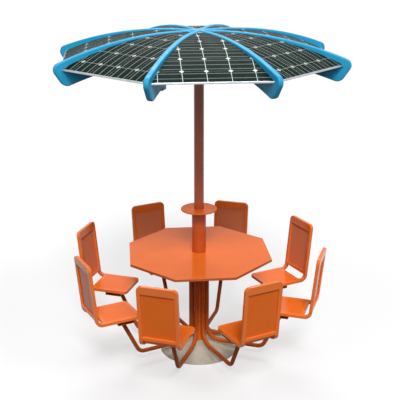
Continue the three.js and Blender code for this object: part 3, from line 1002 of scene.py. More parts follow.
def soften(
    mesh: BMesh,
    radius: float,
    steps: int = 3,
    wanted: Callable[[BMEdge], bool] = lambda edge: True,
    sharpness: float = math.radians(38),
) -> BMesh:
    """Rounds the sharp edges of a mesh.

    Args:
        mesh: The mesh, which is changed.
        radius: The radius of the rounding.
        steps: The number of steps in it.
        wanted: Says whether an edge takes part.
        sharpness: The least angle between two faces that makes an edge sharp.

    Returns:
        The same mesh.
    """
    edges = [
        edge
        for edge in mesh.edges
        if len(edge.link_faces) == 2 and edge.calc_face_angle() > sharpness and wanted(edge)
    ]
    bmesh.ops.bevel(
        mesh,
        geom=edges,
        offset=radius,
        segments=steps,
        profile=0.5,
        affect="EDGES",
        clamp_overlap=True,
    )
    return mesh


def turned(mesh: BMesh, matrix: Matrix) -> BMesh:
    """Turns or moves a mesh and returns it."""
    bmesh.ops.transform(mesh, matrix=matrix, verts=mesh.verts)
    return mesh


def together(meshes: Sequence[BMesh]) -> BMesh:
    """Puts several closed meshes into the first one.

    Args:
        meshes: The meshes. All but the first are freed.

    Returns:
        The first mesh.
    """
    whole = meshes[0]
    for mesh in meshes[1:]:
        carrier = bpy.data.meshes.new("carrier")
        mesh.to_mesh(carrier)
        mesh.free()
        whole.from_mesh(carrier)
        bpy.data.meshes.remove(carrier)
    return whole


def finished(name: str, mesh: BMesh, *materials: Material, crease: float = 35.0) -> Mesh:
    """Turns a mesh in millimetres into mesh data in metres, smooth but for its creases.

    Args:
        name: The data's name.
        mesh: The mesh, which is freed.
        materials: Its materials in order.
        crease: The least angle of a crease, in degrees.

    Returns:
        The mesh data.
    """
    data = bpy.data.meshes.new(name)
    mesh.to_mesh(data)
    mesh.free()
    data.transform(Matrix.Scale(METRES_PER_MM, 4))
    data.shade_smooth()
    data.set_sharp_from_angle(angle=math.radians(crease))
    for material in materials:
        data.materials.append(material)
    return data


def shown(name: str, data: bpy.types.ID) -> Object:
    """Puts a new object into the scene.

    Args:
        name: The object's name.
        data: Its mesh, lamp or camera.

    Returns:
        The object.
    """
    piece = bpy.data.objects.new(name, data)
    bpy.context.scene.collection.objects.link(piece)
    return piece


def placed(name: str, data: Mesh, tag: Tag, matrix: Matrix | None = None) -> Object:
    """Puts a piece into the scene and ties it to the frame.

    Args:
        name: The piece's name.
        data: Its mesh, which several pieces may share.
        tag: What the piece is to the frame.
        matrix: Where it stands, in metres.

    Returns:
        The piece.
    """
    piece = shown(name, data)
    piece.matrix_world = matrix or Matrix.Identity(4)
    weighting = piece.modifiers.new("face_weights", "WEIGHTED_NORMAL")
    weighting.keep_sharp = True
    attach(piece, tag.body.value)
    if tag.nodes:
        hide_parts(*tag.nodes)
    log.info("%s: %d faces, on %s", name, len(data.polygons), tag.body.value)
    return piece


def spoke(index: int) -> Matrix:
    """Turns to the place of a chair, a rib and a table corner, counted from 1."""
    return Matrix.Rotation(HALF_PLACE * (2 * index - 1), 4, "Z")


def bay(index: int) -> Matrix:
    """Turns to the middle of a bay between two ribs, counted from 1."""
    return Matrix.Rotation(HALF_PLACE * 2 * index, 4, "Z")


def shifted(x: float, y: float, z: float) -> Matrix:
    """Moves by millimetres, in metres."""
    return Matrix.Translation(Vector((x, y, z)) * METRES_PER_MM)


# Fasteners


@dataclass
class ButtonScrew:
    """Stainless button-head screw with a hexagon socket, as an assembly has them in sight."""

    head_radius: float = 5.2
    head_height: float = 2.9
    socket_radius: float = 2.4
    socket_depth: float = 1.6
    dome_turns: tuple[float, ...] = (0, 15, 32, 50)
    steps: int = 24
    sides: int = 6
    corner_ease: float = 0.12

    def mesh(self, finishes: FinishBook) -> Mesh:
        """Builds the head, standing on the origin and pointing up.

        Args:
            finishes: The object's finishes.

        Returns:
            The head's mesh.
        """
        rings = [
            lifted(
                circle(self.head_radius * math.cos(turn), self.steps),
                self.head_height * math.sin(turn),
            )
            for turn in map(math.radians, self.dome_turns)
        ]
        socket = []
        for step, spot in enumerate(circle(self.socket_radius, self.steps)):
            # As many points of the round rim run to each corner of the hexagon
            angle = math.tau / self.sides * (step * self.sides // self.steps)
            point = Vector((math.cos(angle), math.sin(angle))) * self.socket_radius
            socket.append(point.lerp(spot, self.corner_ease))
        rim_height = rings[-1][0].z
        rings += [lifted(socket, rim_height), lifted(socket, rim_height - self.socket_depth)]
        return finished("button_screw", lofted(rings), finishes.stainless, crease=25)


# The foot


@dataclass
class Foot:
    """Concrete plinth with the welded post that stands in it."""

    finishes: FinishBook
    plinth_radius: float = 290.0
    plinth_height: float = 70.0
    rim_height: float = 8.0
    rim_wear: float = 1.5
    cone_steps: int = 14
    cone_swell: float = 0.9
    crown_width: float = 14.0
    crown_ease: float = 2.0
    base_radius: float = 110.0
    base_thickness: float = 12.0
    post_radius: float = 35.0
    post_wall: float = 4.0
    spacer_radius: float = 46.7
    spacer_thickness: float = 8.0
    spacer_heights: tuple[float, ...] = (235.0, 560.0)
    flange_radius: float = 85.0
    flange_thickness: float = 10.0
    post_top: float = 749.4
    coat_ease: float = 0.8
    weld: float = 4.0
    gap: float = 0.3

    def build(self) -> None:
        """Places the plinth and the post."""
        placed("plinth", self.plinth(), Tag(Slot.CONCRETE, ("base_plinth",)))
        placed("post", self.post(), Tag(Slot.ORANGE_STEEL, ("lower_post",)))

    def plinth(self) -> Mesh:
        """Builds the cone with a worn rim and a trowelled crown round the post.

        Returns:
            The plinth's mesh.
        """
        bore, top = self.post_radius + self.gap, self.plinth_height
        pocket, pocket_top = self.base_radius + self.gap, self.base_thickness + self.gap
        crown, ease, wear = bore + self.crown_width, self.crown_ease, self.rim_wear
        slope = Vector((crown - self.plinth_radius, top - self.rim_height))
        shares = [step / self.cone_steps for step in range(1, self.cone_steps)]
        cone = [
            (
                self.plinth_radius + slope.x * share,
                self.rim_height + slope.y * share + self.cone_swell * math.sin(math.pi * share),
            )
            for share in shares
        ]
        profile = [
            (bore, pocket_top),
            (pocket, pocket_top),
            (pocket, 0.0),
            (self.plinth_radius - wear, 0.0),
            (self.plinth_radius, wear),
            (self.plinth_radius, self.rim_height - wear * 2),
            (self.plinth_radius - wear * 0.8, self.rim_height - wear * 0.4),
            *cone,
            (crown + ease, top - ease * 0.35),
            (crown - ease, top),
            (bore + ease, top - ease * 0.2),
            (bore, top - ease * 1.2),
        ]
        return finished("plinth", revolved(profile), self.finishes.concrete, crease=50)

    def post(self) -> Mesh:
        """Builds the tube with its base plate, spacers and flange, edges eased by the coat.

        Returns:
            The post's mesh.
        """
        bore, ease, weld = self.post_radius - self.post_wall, self.coat_ease, self.weld
        discs: list[tuple[float, float]] = []
        for height in self.spacer_heights:
            top = height + self.spacer_thickness
            edge = disc_edge(self.spacer_radius, height, top, ease)
            discs += [(self.post_radius, height), *edge, (self.post_radius, top)]
        flange_bottom = self.post_top - self.flange_thickness
        profile = [
            (bore, 0.0),
            (self.base_radius, 0.0),
            (self.base_radius, self.base_thickness - ease),
            (self.base_radius - ease, self.base_thickness),
            (self.post_radius + weld, self.base_thickness),
            (self.post_radius, self.base_thickness + weld),
            *discs,
            (self.post_radius, flange_bottom - weld),
            (self.post_radius + weld, flange_bottom),
            *disc_edge(self.flange_radius, flange_bottom, self.post_top, ease),
            (bore, self.post_top),
        ]
        return finished("post", revolved(profile), self.finishes.orange_paint)


# The chairs


@dataclass(frozen=True)
class Opening:
    """An opening in the strip: its start and end, the rounding at both and its edges' ease."""

    start: float
    end: float
    first_round: float
    last_round: float
    ease: float


@dataclass
class Chair:
    """One of the chairs: a bent frame of flat rail, a seat plate, a back panel and its tube.

    The frame is laid out flat, as a strip with three openings, and is then bent up at the back.
    """

    finishes: FinishBook
    width: float = 284.0
    rail: float = 26.0
    thickness: float = 24.0
    seat_height: float = 438.0
    front: float = 527.0
    rear: float = 812.0
    run_out: float = 6.0
    bend_radius: float = 45.0
    lean: float = math.radians(5.55)
    back_top: float = 870.0
    top_rail: float = 58.0
    bottom_rail: float = 27.0
    front_round: float = 30.0
    top_round: float = 35.0
    opening_round: float = 14.0
    hole_round: float = 4.0
    edge_round: float = 3.2
    seam_ease: float = 0.5
    panel_ease: float = 1.2
    bend_steps: int = 14
    plate_thickness: float = 4.0
    skirt: float = 3.0
    gap: float = 0.3
    tube_radius: float = 15.0
    tube_circle: float = 62.0
    tube_top: float = 739.1
    tube_low: float = 77.0
    wide_bend: float = 110.0
    tight_bend: float = 60.0
    rise: float = math.radians(64)
    carrier_place: float = 641.0
    carrier_length: float = 122.0
    carrier_width: float = 248.0
    carrier_height: float = 28.0
    carrier_wall: float = 3.0
    carrier_round: float = 4.0
    carrier_inner_round: float = 2.0
    fold_ease: float = 0.5
    bead_size: float = 2.6
    bead_steps: int = 60
    bead_sides: int = 10
    bead_ripples: int = 15
    bead_ripple: float = 0.14
    bead_sunk: float = 0.2
    screw_along: float = 44.0
    screw_across: float = 95.0

    @property
    def carrier_floor(self) -> float:
        """Height of the underside of the box that carries the seat."""
        return self.seat_height - self.thickness - self.gap - self.carrier_height

    @property
    def middle(self) -> float:
        """Height of the middle of the seat's rail."""
        return self.seat_height - self.thickness / 2

    @property
    def flat(self) -> float:
        """Length of the strip's level part."""
        return self.rear + self.run_out - self.front

    @property
    def turn(self) -> float:
        """Angle of the bend between the seat and the back."""
        return math.pi / 2 - self.lean

    @property
    def bent(self) -> float:
        """Length of the strip's bent part."""
        return self.bend_radius * self.turn

    @property
    def length(self) -> float:
        """Length of the whole strip."""
        reach = self.bend_radius * math.tan(self.turn / 2)
        return self.flat + self.bent + (self.back_top - self.middle) / math.cos(self.lean) - reach

    @property
    def inner(self) -> float:
        """Half the clear width between the side rails."""
        return self.width / 2 - self.rail

    def spine(self, place: float) -> tuple[Vector, Vector]:
        """Gives the strip's middle line at a place along it.

        Args:
            place: The distance from the front edge of the seat.

        Returns:
            The point, and the direction that the sitter's side faces.
        """
        end_x, end_z = self.front + self.flat, self.middle
        if place <= self.flat:
            return Vector((self.front + place, 0, end_z)), Vector((0, 0, 1))
        angle = min((place - self.flat) / self.bend_radius, self.turn)
        across, up = math.sin(angle), 1 - math.cos(angle)
        point = Vector((end_x + self.bend_radius * across, 0, end_z + self.bend_radius * up))
        along = Vector((math.cos(angle), 0, math.sin(angle)))
        rest = max(place - self.flat - self.bent, 0)
        return point + along * rest, Vector((-along.z, 0, along.x))

    def openings(self) -> list[Opening]:
        """Gives the strip's openings: the seat's, the one behind it and the back panel's.

        Returns:
            The openings, from the front of the seat to the top of the back.
        """
        bend_end = self.flat + self.bent
        hole, slit = self.hole_round, self.edge_round
        panel_start, panel_end = bend_end + self.bottom_rail, self.length - self.top_rail
        return [
            Opening(self.rail, self.rear - self.rail - self.front, hole, hole, self.seam_ease),
            Opening(self.rear - self.front, bend_end, self.opening_round, hole, slit),
            Opening(panel_start, panel_end, hole / 2, hole / 2, slit),
        ]

    def frame(self) -> Mesh:
        """Builds the frame as a flat strip with rounded rails, and bends it up.

        Returns:
            The frame's mesh.
        """
        half, depth = self.width / 2, self.thickness / 2
        radii = [self.front_round, self.top_round, self.top_round, self.front_round]
        rims = [Rim(cornered(rectangle(0, -half, self.length, half), radii), self.edge_round)]
        for gap in self.openings():
            corners = rectangle(gap.start, -self.inner, gap.end, self.inner)
            radii = [gap.first_round, gap.last_round, gap.last_round, gap.first_round]
            rims.append(Rim(cornered(corners, radii, is_hole=True), gap.ease))
        mesh = plate(rims, -depth, depth)
        for step in range(self.bend_steps + 1):
            bmesh.ops.bisect_plane(
                mesh,
                geom=[*mesh.verts, *mesh.edges, *mesh.faces],
                plane_co=(self.flat + self.bent * step / self.bend_steps, 0, 0),
                plane_no=(1, 0, 0),
            )
        return finished("seat_frame", self.raised(mesh), self.finishes.lit_orange_paint)

    def raised(self, mesh: BMesh) -> BMesh:
        """Bends a mesh that lies along the flat strip up with it.

        Args:
            mesh: The mesh, which is changed.

        Returns:
            The same mesh.
        """
        for vert in mesh.verts:
            point, outward = self.spine(vert.co.x)
            vert.co = point + outward * vert.co.z + Vector((0, vert.co.y, 0))
        return mesh

    def seat(self) -> Mesh:
        """Builds the seat plate with its folded skirt.

        Returns:
            The plate's mesh.
        """
        front = self.front + self.rail + self.gap
        rear = self.rear - self.rail - self.gap
        half, ease = self.inner - self.gap, self.fold_ease
        low, high = self.seat_height - self.thickness, self.seat_height
        rings = []
        for inset, level in (
            (self.skirt, high - self.plate_thickness),
            (self.skirt, low),
            (ease, low),
            (0.0, low + ease),
            (0.0, high - ease),
            (ease, high),
        ):
            corners = rectangle(front + inset, -half + inset, rear - inset, half - inset)
            rings.append(lifted(rounded(corners, [self.hole_round] * 4), level))
        return finished("seat_plate", lofted(rings), self.finishes.lit_seat_paint)

    def panel(self) -> Mesh:
        """Builds the back panel, which is set back from both faces of the frame.

        Returns:
            The panel's mesh, with the sitter's side in the second paint.
        """
        opening = self.openings()[-1]
        half, depth = self.inner - self.gap, self.plate_thickness / 2
        corners = rectangle(opening.start + self.gap, -half, opening.end - self.gap, half)
        rim = Rim(cornered(corners, [opening.first_round] * 4), self.panel_ease)
        mesh = plate([rim], -depth, depth)
        # The sitter's side takes the paler rosy paint, which is a painted reflection
        for face in mesh.faces:
            face.material_index = int(face.normal.z > FACING)
        paints = self.finishes.orange_paint, self.finishes.rosy_reflection_paint
        return finished("back_panel", self.raised(mesh), *paints)

    def path(self) -> list[Vector]:
        """Gives the middle line of the support tube, from its head to the box under the seat.

        Returns:
            Points of radius and height.
        """
        floor, level = self.carrier_floor, -math.pi / 2
        corner_x = self.carrier_place + (self.tube_low - floor) / math.tan(self.rise)
        wide_x, wide_z = self.tube_circle + self.wide_bend, self.tube_low + self.wide_bend
        tight_x = corner_x - self.tight_bend * math.tan(self.rise / 2)
        tight_z = self.tube_low + self.tight_bend
        end = self.carrier_place + self.tube_radius / math.tan(self.rise)
        return [
            Vector((self.tube_circle, self.tube_top)),
            *arc(wide_x, wide_z, self.wide_bend, math.pi, 1.5 * math.pi, 18),
            *arc(tight_x, tight_z, self.tight_bend, level, level + self.rise, 14),
            Vector((end, floor + self.tube_radius)),
        ]

    def tube(self) -> Mesh:
        """Builds the bent tube, its weld bead and the open box that carries the seat.

        Returns:
            The tube's mesh.
        """
        floor, wall = self.carrier_floor, self.carrier_wall
        tube = swept(self.path(), circle(self.tube_radius, ROD_STEPS))
        cut = bmesh.ops.bisect_plane(
            tube,
            geom=[*tube.verts, *tube.edges, *tube.faces],
            plane_co=(0, 0, floor + wall / 2),
            plane_no=(0, 0, 1),
        )
        above = [
            vert
            for vert in tube.verts
            if vert.co.z > floor + wall and vert.co.x > self.carrier_length * 2
        ]
        bmesh.ops.delete(tube, geom=above, context="VERTS")
        rim = [
            edge
            for edge in cut["geom_cut"]
            if isinstance(edge, BMEdge) and edge.is_valid and edge.is_boundary
        ]
        bmesh.ops.edgeloop_fill(tube, edges=rim)

        half_x, half_z = self.carrier_length / 2, self.carrier_height / 2
        hollow = cushion(half_x - wall, half_z - wall, self.carrier_inner_round, 3)
        box = extruded(
            cushion(half_x, half_z, self.carrier_round),
            -self.carrier_width / 2,
            self.carrier_width / 2,
            [hollow],
        )
        soften(box, self.fold_ease, 1, sharpness=SQUARE_ONLY)
        turned(box, Matrix.Rotation(math.pi / 2, 4, "X"))
        turned(box, Matrix.Translation((self.carrier_place, 0, floor + half_z)))
        mesh = together([tube, box, self.bead()])
        return finished("support_tube", mesh, self.finishes.shaded_dull_orange_paint)

    def bead(self) -> BMesh:
        """Builds the weld bead where the slanting tube meets the box, as a rippled ring.

        Returns:
            The closed mesh.
        """
        long_radius = self.tube_radius / math.sin(self.rise)
        rings = []
        for angle in spread(0, math.tau, self.bead_steps)[:-1]:
            width = self.bead_size * (1 + self.bead_ripple * math.cos(angle * self.bead_ripples))
            ring = []
            for around in spread(0, math.tau, self.bead_sides)[:-1]:
                out, down = width * math.cos(around), max(math.sin(around), -self.bead_sunk)
                x = self.carrier_place + (long_radius + out) * math.cos(angle)
                y = (self.tube_radius + out) * math.sin(angle)
                ring.append(Vector((x, y, self.carrier_floor - width * down)))
            rings.append(ring)
        return lofted(rings, capped=False)

    def build(self) -> None:
        """Places the eight chairs with the screws that hold their seats to the boxes."""
        parts = (
            ("frame", self.frame(), Slot.ORANGE_ALUMINIUM, "seat_frame"),
            ("seat", self.seat(), Slot.ORANGE_STEEL, "seat_plate"),
            ("back", self.panel(), Slot.ORANGE_STEEL, "back_panel"),
            ("tube", self.tube(), Slot.ORANGE_STEEL, "support_tube"),
        )
        screw = ButtonScrew().mesh(self.finishes)
        along, across = self.screw_along, self.screw_across
        for index in range(1, PLACE_COUNT + 1):
            turn = spoke(index)
            for part, data, slot, node in parts:
                placed(f"chair_{part}_{index}", data, Tag(slot, (f"{node}_{index}",)), turn)
            for number, place in enumerate(rectangle(-along, -across, along, across), 1):
                spot = turn @ shifted(self.carrier_place + place.x, place.y, self.carrier_floor)
                name = f"seat_screw_{index}_{number}"
                placed(name, screw, Tag(Slot.CONTROLLER_CASE), spot @ UPSIDE_DOWN)


# The table


@dataclass
class Table:
    """Octagonal top of compact laminate on its star bracket, with the screws from below."""

    finishes: FinishBook
    height: float = 780.0
    thickness: float = 20.0
    corner_radius: float = 547.0
    hole_radius: float = 51.3
    hole_ease: float = 0.6
    corner_round: float = 4.0
    edge_round: float = 2.5
    arm_places: tuple[float, ...] = (150.0, 280.0, 405.0)
    arm_offset: float = 10.0
    flange_bottom: float = 755.7

    def build(self) -> None:
        """Places the top and the screws that hold it to its bracket."""
        placed("table_panel", self.top(), Tag(Slot.ORANGE_LAMINATE, ("table_top",)))
        small = ButtonScrew(head_radius=4.6, head_height=2.6, socket_radius=2.1, socket_depth=1.4)
        screw = small.mesh(self.finishes)
        sides = (-self.arm_offset, self.arm_offset)
        places = product(range(1, PLACE_COUNT + 1), self.arm_places, sides)
        for number, (arm, place, side) in enumerate(places, 1):
            spot = bay(arm) @ shifted(place, side, self.flange_bottom) @ UPSIDE_DOWN
            placed(f"table_screw_{number}", screw, Tag(Slot.CONTROLLER_CASE), spot)

    def top(self) -> Mesh:
        """Builds the octagon with eased edges, its sawn sides in the duller core, darkened as
        painted shade.

        Returns:
            The top's mesh.
        """
        corners = [
            Vector((math.cos(angle), math.sin(angle))) * self.corner_radius
            for angle in (HALF_PLACE * (2 * index + 1) for index in range(PLACE_COUNT))
        ]
        rims = [
            Rim(cornered(corners, [self.corner_round] * PLACE_COUNT), self.edge_round),
            Rim(lambda inset: circle(self.hole_radius + inset, ROUND_STEPS), self.hole_ease),
        ]
        mesh = plate(rims, self.height - self.thickness, self.height)
        # The upright sides take the darker core finish, which is painted shade
        for face in mesh.faces:
            middle = face.calc_center_median()
            if abs(face.normal.z) < UPRIGHT and middle.xy.length > self.hole_radius * 2:
                face.material_index = 1
        return finished("table_panel", mesh, self.finishes.laminate, self.finishes.laminate_core)


# The column with what it holds


@dataclass
class Column:
    """Round housing with its service door and the battery inside; the charge controller keeps its
    CAD shape.
    """

    finishes: FinishBook
    radius: float = 51.0
    wall: float = 5.0
    bottom: float = 760.0
    top: float = 1092.4
    door_half: float = math.radians(34)
    door_thickness: float = 3.0
    stop_width: float = 4.0
    sill: float = 800.0
    door_height: float = 200.0
    gap: float = 0.3
    door_gap: float = 0.6
    hinge_turn: float = math.radians(5.5)
    knuckle_radius: float = 5.0
    knuckle_length: float = 30.0
    knuckle_ease: float = 0.6
    lug_length: float = 14.0
    pin_radius: float = 2.5
    pin_end: float = 1.0
    standoff: float = 0.5
    strap_turn: float = math.radians(14)
    strap_top: float = 3.0
    strap_foot: float = 0.93
    lock_turn: float = math.radians(20)
    lock_radius: float = 7.0
    lock_standout: float = 2.0
    lock_depth: float = 9.0
    lock_ease: float = 0.8
    lock_rim: float = 2.0
    lock_dish: float = 0.4
    lock_bevel: float = 0.3
    key_length: float = 6.4
    key_width: float = 1.6
    key_round: float = 0.7
    key_depth: float = 3.0
    battery_radius: float = 40.0
    battery_height: float = 185.0
    sleeve_insets: tuple[float, ...] = (8, 7, 4, 1, 0, 0.5, 0)
    sleeve_levels: tuple[float, ...] = (0, 0.6, 0, 1.2, 4, 62, 66)
    block_half: tuple[float, float] = (22.0, 11.0)
    block_round: float = 3.0
    block_low: float = 4.0
    block_high: float = 10.0
    stud_place: tuple[float, float] = (12.0, 10.9)
    stud_radius: float = 3.2
    stud_tip: float = 2.4
    stud_length: float = 2.8
    stud_collar: float = 0.6
    thread_ridges: int = 5
    thread_pitch: float = 0.35
    thread_depth: float = 0.2

    @property
    def door_middle(self) -> float:
        """Height of the middle of the door."""
        return self.sill + self.door_height / 2

    @property
    def hinge_radius(self) -> float:
        """Distance of the hinge's pin from the axis of the column."""
        return self.radius + self.knuckle_radius + self.standoff

    @property
    def hinge_angle(self) -> float:
        """Angle of the hinge's pin round the column."""
        return math.pi / 2 + self.door_half + self.hinge_turn

    def build(self) -> None:
        """Builds the housing, the door on its own body, and what is inside."""
        placed("column", self.housing(), Tag(Slot.ORANGE_STEEL, ("column_housing",)))
        door = Tag(Slot.ORANGE_STEEL, ("service_door",), Body.DOOR)
        placed("column_door", self.leaf(), door)
        placed("door_lock", self.lock(), Tag(Slot.CONTROLLER_CASE, (), Body.DOOR))
        placed("battery", self.battery(), Tag(Slot.BATTERY_SLEEVE, ("battery_pack",)))
        placed("battery_studs", self.studs(), Tag(Slot.CONTROLLER_CASE))

    def housing(self) -> Mesh:
        """Builds the wall with its rebated doorway, and the hinge's lugs and pin.

        Returns:
            The column's mesh.
        """
        stop, middle = self.door_half - self.stop_width / self.radius, math.pi / 2
        edges = {middle + side for side in (-self.door_half, -stop, stop, self.door_half)}
        rebate = self.radius - self.door_thickness - self.gap
        sill, head = self.sill, self.sill + self.door_height
        outer = (self.door_half, sill, head)
        inner = (stop, sill + self.stop_width, head - self.stop_width)

        def present(radius: float, angle: float, height: float) -> bool:
            """Says whether a place is in the wall, and not in the doorway or its rebate."""
            half, low, high = outer if radius > rebate else inner
            return abs(angle - middle) > half or not low < height < high

        wall = barrel(
            [self.radius - self.wall, rebate, self.radius],
            stepped(edges),
            [self.bottom, sill, *inner[1:], head, self.top],
            present,
        )
        soften(wall, 0.4, 1, sharpness=SQUARE_ONLY)
        half = self.knuckle_length / 2 + self.gap
        reach = half + self.lug_length
        lug_end = self.hinge_angle + self.knuckle_radius / self.hinge_radius
        lug_turns = spread(self.hinge_angle, lug_end, 2)
        parts = [wall]
        for start, end in ((-reach, -half), (half, reach)):
            heights = [self.door_middle + start, self.door_middle + end]
            radii = [self.radius - self.wall / 2, self.hinge_radius]
            parts.append(self.knuckle(*heights))
            parts.append(barrel(radii, lug_turns, heights, closed=False))
        ends = (self.door_middle + side * (reach + self.pin_end) for side in (-1, 1))
        parts.append(self.knuckle(*ends, radius=self.pin_radius))
        return finished("column", together(parts), self.finishes.shaded_satin_orange_paint)

    def knuckle(self, low: float, high: float, radius: float | None = None) -> BMesh:
        """Builds an upright roll of the hinge, with eased ends.

        Args:
            low: The height of its lower end.
            high: The height of its upper end.
            radius: Its radius, or None for that of the hinge's knuckles.

        Returns:
            The closed mesh.
        """
        edge = disc_edge(radius or self.knuckle_radius, low, high, self.knuckle_ease)
        profile = [(0.0, low), *edge, (0.0, high)]
        x, y = (self.hinge_radius * turn(self.hinge_angle) for turn in (math.cos, math.sin))
        return turned(revolved(profile, 24), Matrix.Translation((x, y, 0)))

    def leaf(self) -> Mesh:
        """Builds the curved door with its hinge strap and knuckle.

        Returns:
            The door's mesh.
        """
        half, middle = self.door_half - self.door_gap / self.radius, math.pi / 2
        leaf = barrel(
            [self.radius - self.door_thickness, self.radius],
            spread(middle - half, middle + half, 24),
            [self.sill + self.door_gap, self.sill + self.door_height - self.door_gap],
            closed=False,
        )
        soften(leaf, 0.8, 2, sharpness=FOLDS_TOO)
        start, top = middle + self.door_half - self.strap_turn, self.radius + self.strap_top
        foot_end = start + self.strap_turn * self.strap_foot
        heights = [self.door_middle + side * self.knuckle_length / 2 for side in (-1, 1)]
        strap_turns = spread(start, self.hinge_angle, 6)
        strap = barrel([self.radius + self.standoff, top], strap_turns, heights, closed=False)
        root = self.radius - self.door_thickness / 2
        foot = barrel([root, top], spread(start, foot_end, 5), heights, closed=False)
        soften(foot, 0.6, 2, sharpness=FOLDS_TOO)
        mesh = together([leaf, strap, foot, self.knuckle(*heights)])
        return finished("column_door", mesh, self.finishes.shaded_satin_orange_paint)

    def lock(self) -> Mesh:
        """Builds the barrel of the lock, with a keyway sunk into its dished face.

        Returns:
            The lock's mesh.
        """
        radius, ease, dish = self.lock_radius, self.lock_ease, self.lock_dish
        edge = [(radius, -self.lock_depth), (radius, -ease), (radius - ease, 0.0)]
        edge += [(radius - self.lock_rim, 0.0), (radius - self.lock_rim - self.lock_bevel, -dish)]
        rings = [lifted(circle(size, 32), height) for size, height in edge]
        way = cushion(self.key_length / 2, self.key_width / 2, self.key_round, 7)
        way.sort(key=lambda point: math.atan2(point.y, point.x) % math.tau)
        rings += [lifted(way, -dish), lifted(way, -self.key_depth)]
        mesh = turned(lofted(rings), Matrix.Rotation(-math.pi / 2, 4, "X"))
        turned(mesh, Matrix.Translation((0, self.radius + self.lock_standout, self.door_middle)))
        turned(mesh, Matrix.Rotation(-self.lock_turn, 4, "Z"))
        return finished("door_lock", mesh, self.finishes.stainless)

    def battery(self) -> Mesh:
        """Builds the sleeved pack: its shrunk ends draw in over the cells' rims.

        Returns:
            The battery's mesh.
        """
        low, top = self.bottom, self.bottom + self.battery_height
        radii = [0.0, *(self.battery_radius - inset for inset in self.sleeve_insets)]
        end = list(zip(radii, (0.0, *self.sleeve_levels)))
        upper = [(radius, top - up) for radius, up in reversed(end)]
        pack = revolved([*((radius, low + up) for radius, up in end), *upper], 64)
        outline = cushion(*self.block_half, self.block_round)
        block = extruded(outline, top - self.block_low, top + self.block_high)
        soften(block, 1.0, 2, sharpness=SQUARE_ONLY)
        return finished("battery", together([pack, block]), self.finishes.sleeve)

    def studs(self) -> Mesh:
        """Builds the two threaded studs that lie in the terminal block's face.

        Returns:
            The studs' mesh.
        """
        radius, thread = self.stud_radius, self.thread_depth
        profile = [(0.0, 0.0), (radius, 0.0), (radius, self.stud_collar)]
        for ridge in range(1, self.thread_ridges + 1):
            size = radius - thread if ridge % 2 else radius + thread
            profile.append((size, self.stud_collar + ridge * self.thread_pitch))
        profile += [(self.stud_tip, self.stud_length), (0.0, self.stud_length)]
        across, out = self.stud_place
        height = self.bottom + self.battery_height + self.block_low
        studs = []
        for x in (-across, across):
            stud = turned(revolved(profile, 24), Matrix.Rotation(-math.pi / 2, 4, "X"))
            studs.append(turned(stud, Matrix.Translation((x, out, height))))
        return finished("battery_studs", together(studs), self.finishes.stainless)


# Tray, outlets and mast


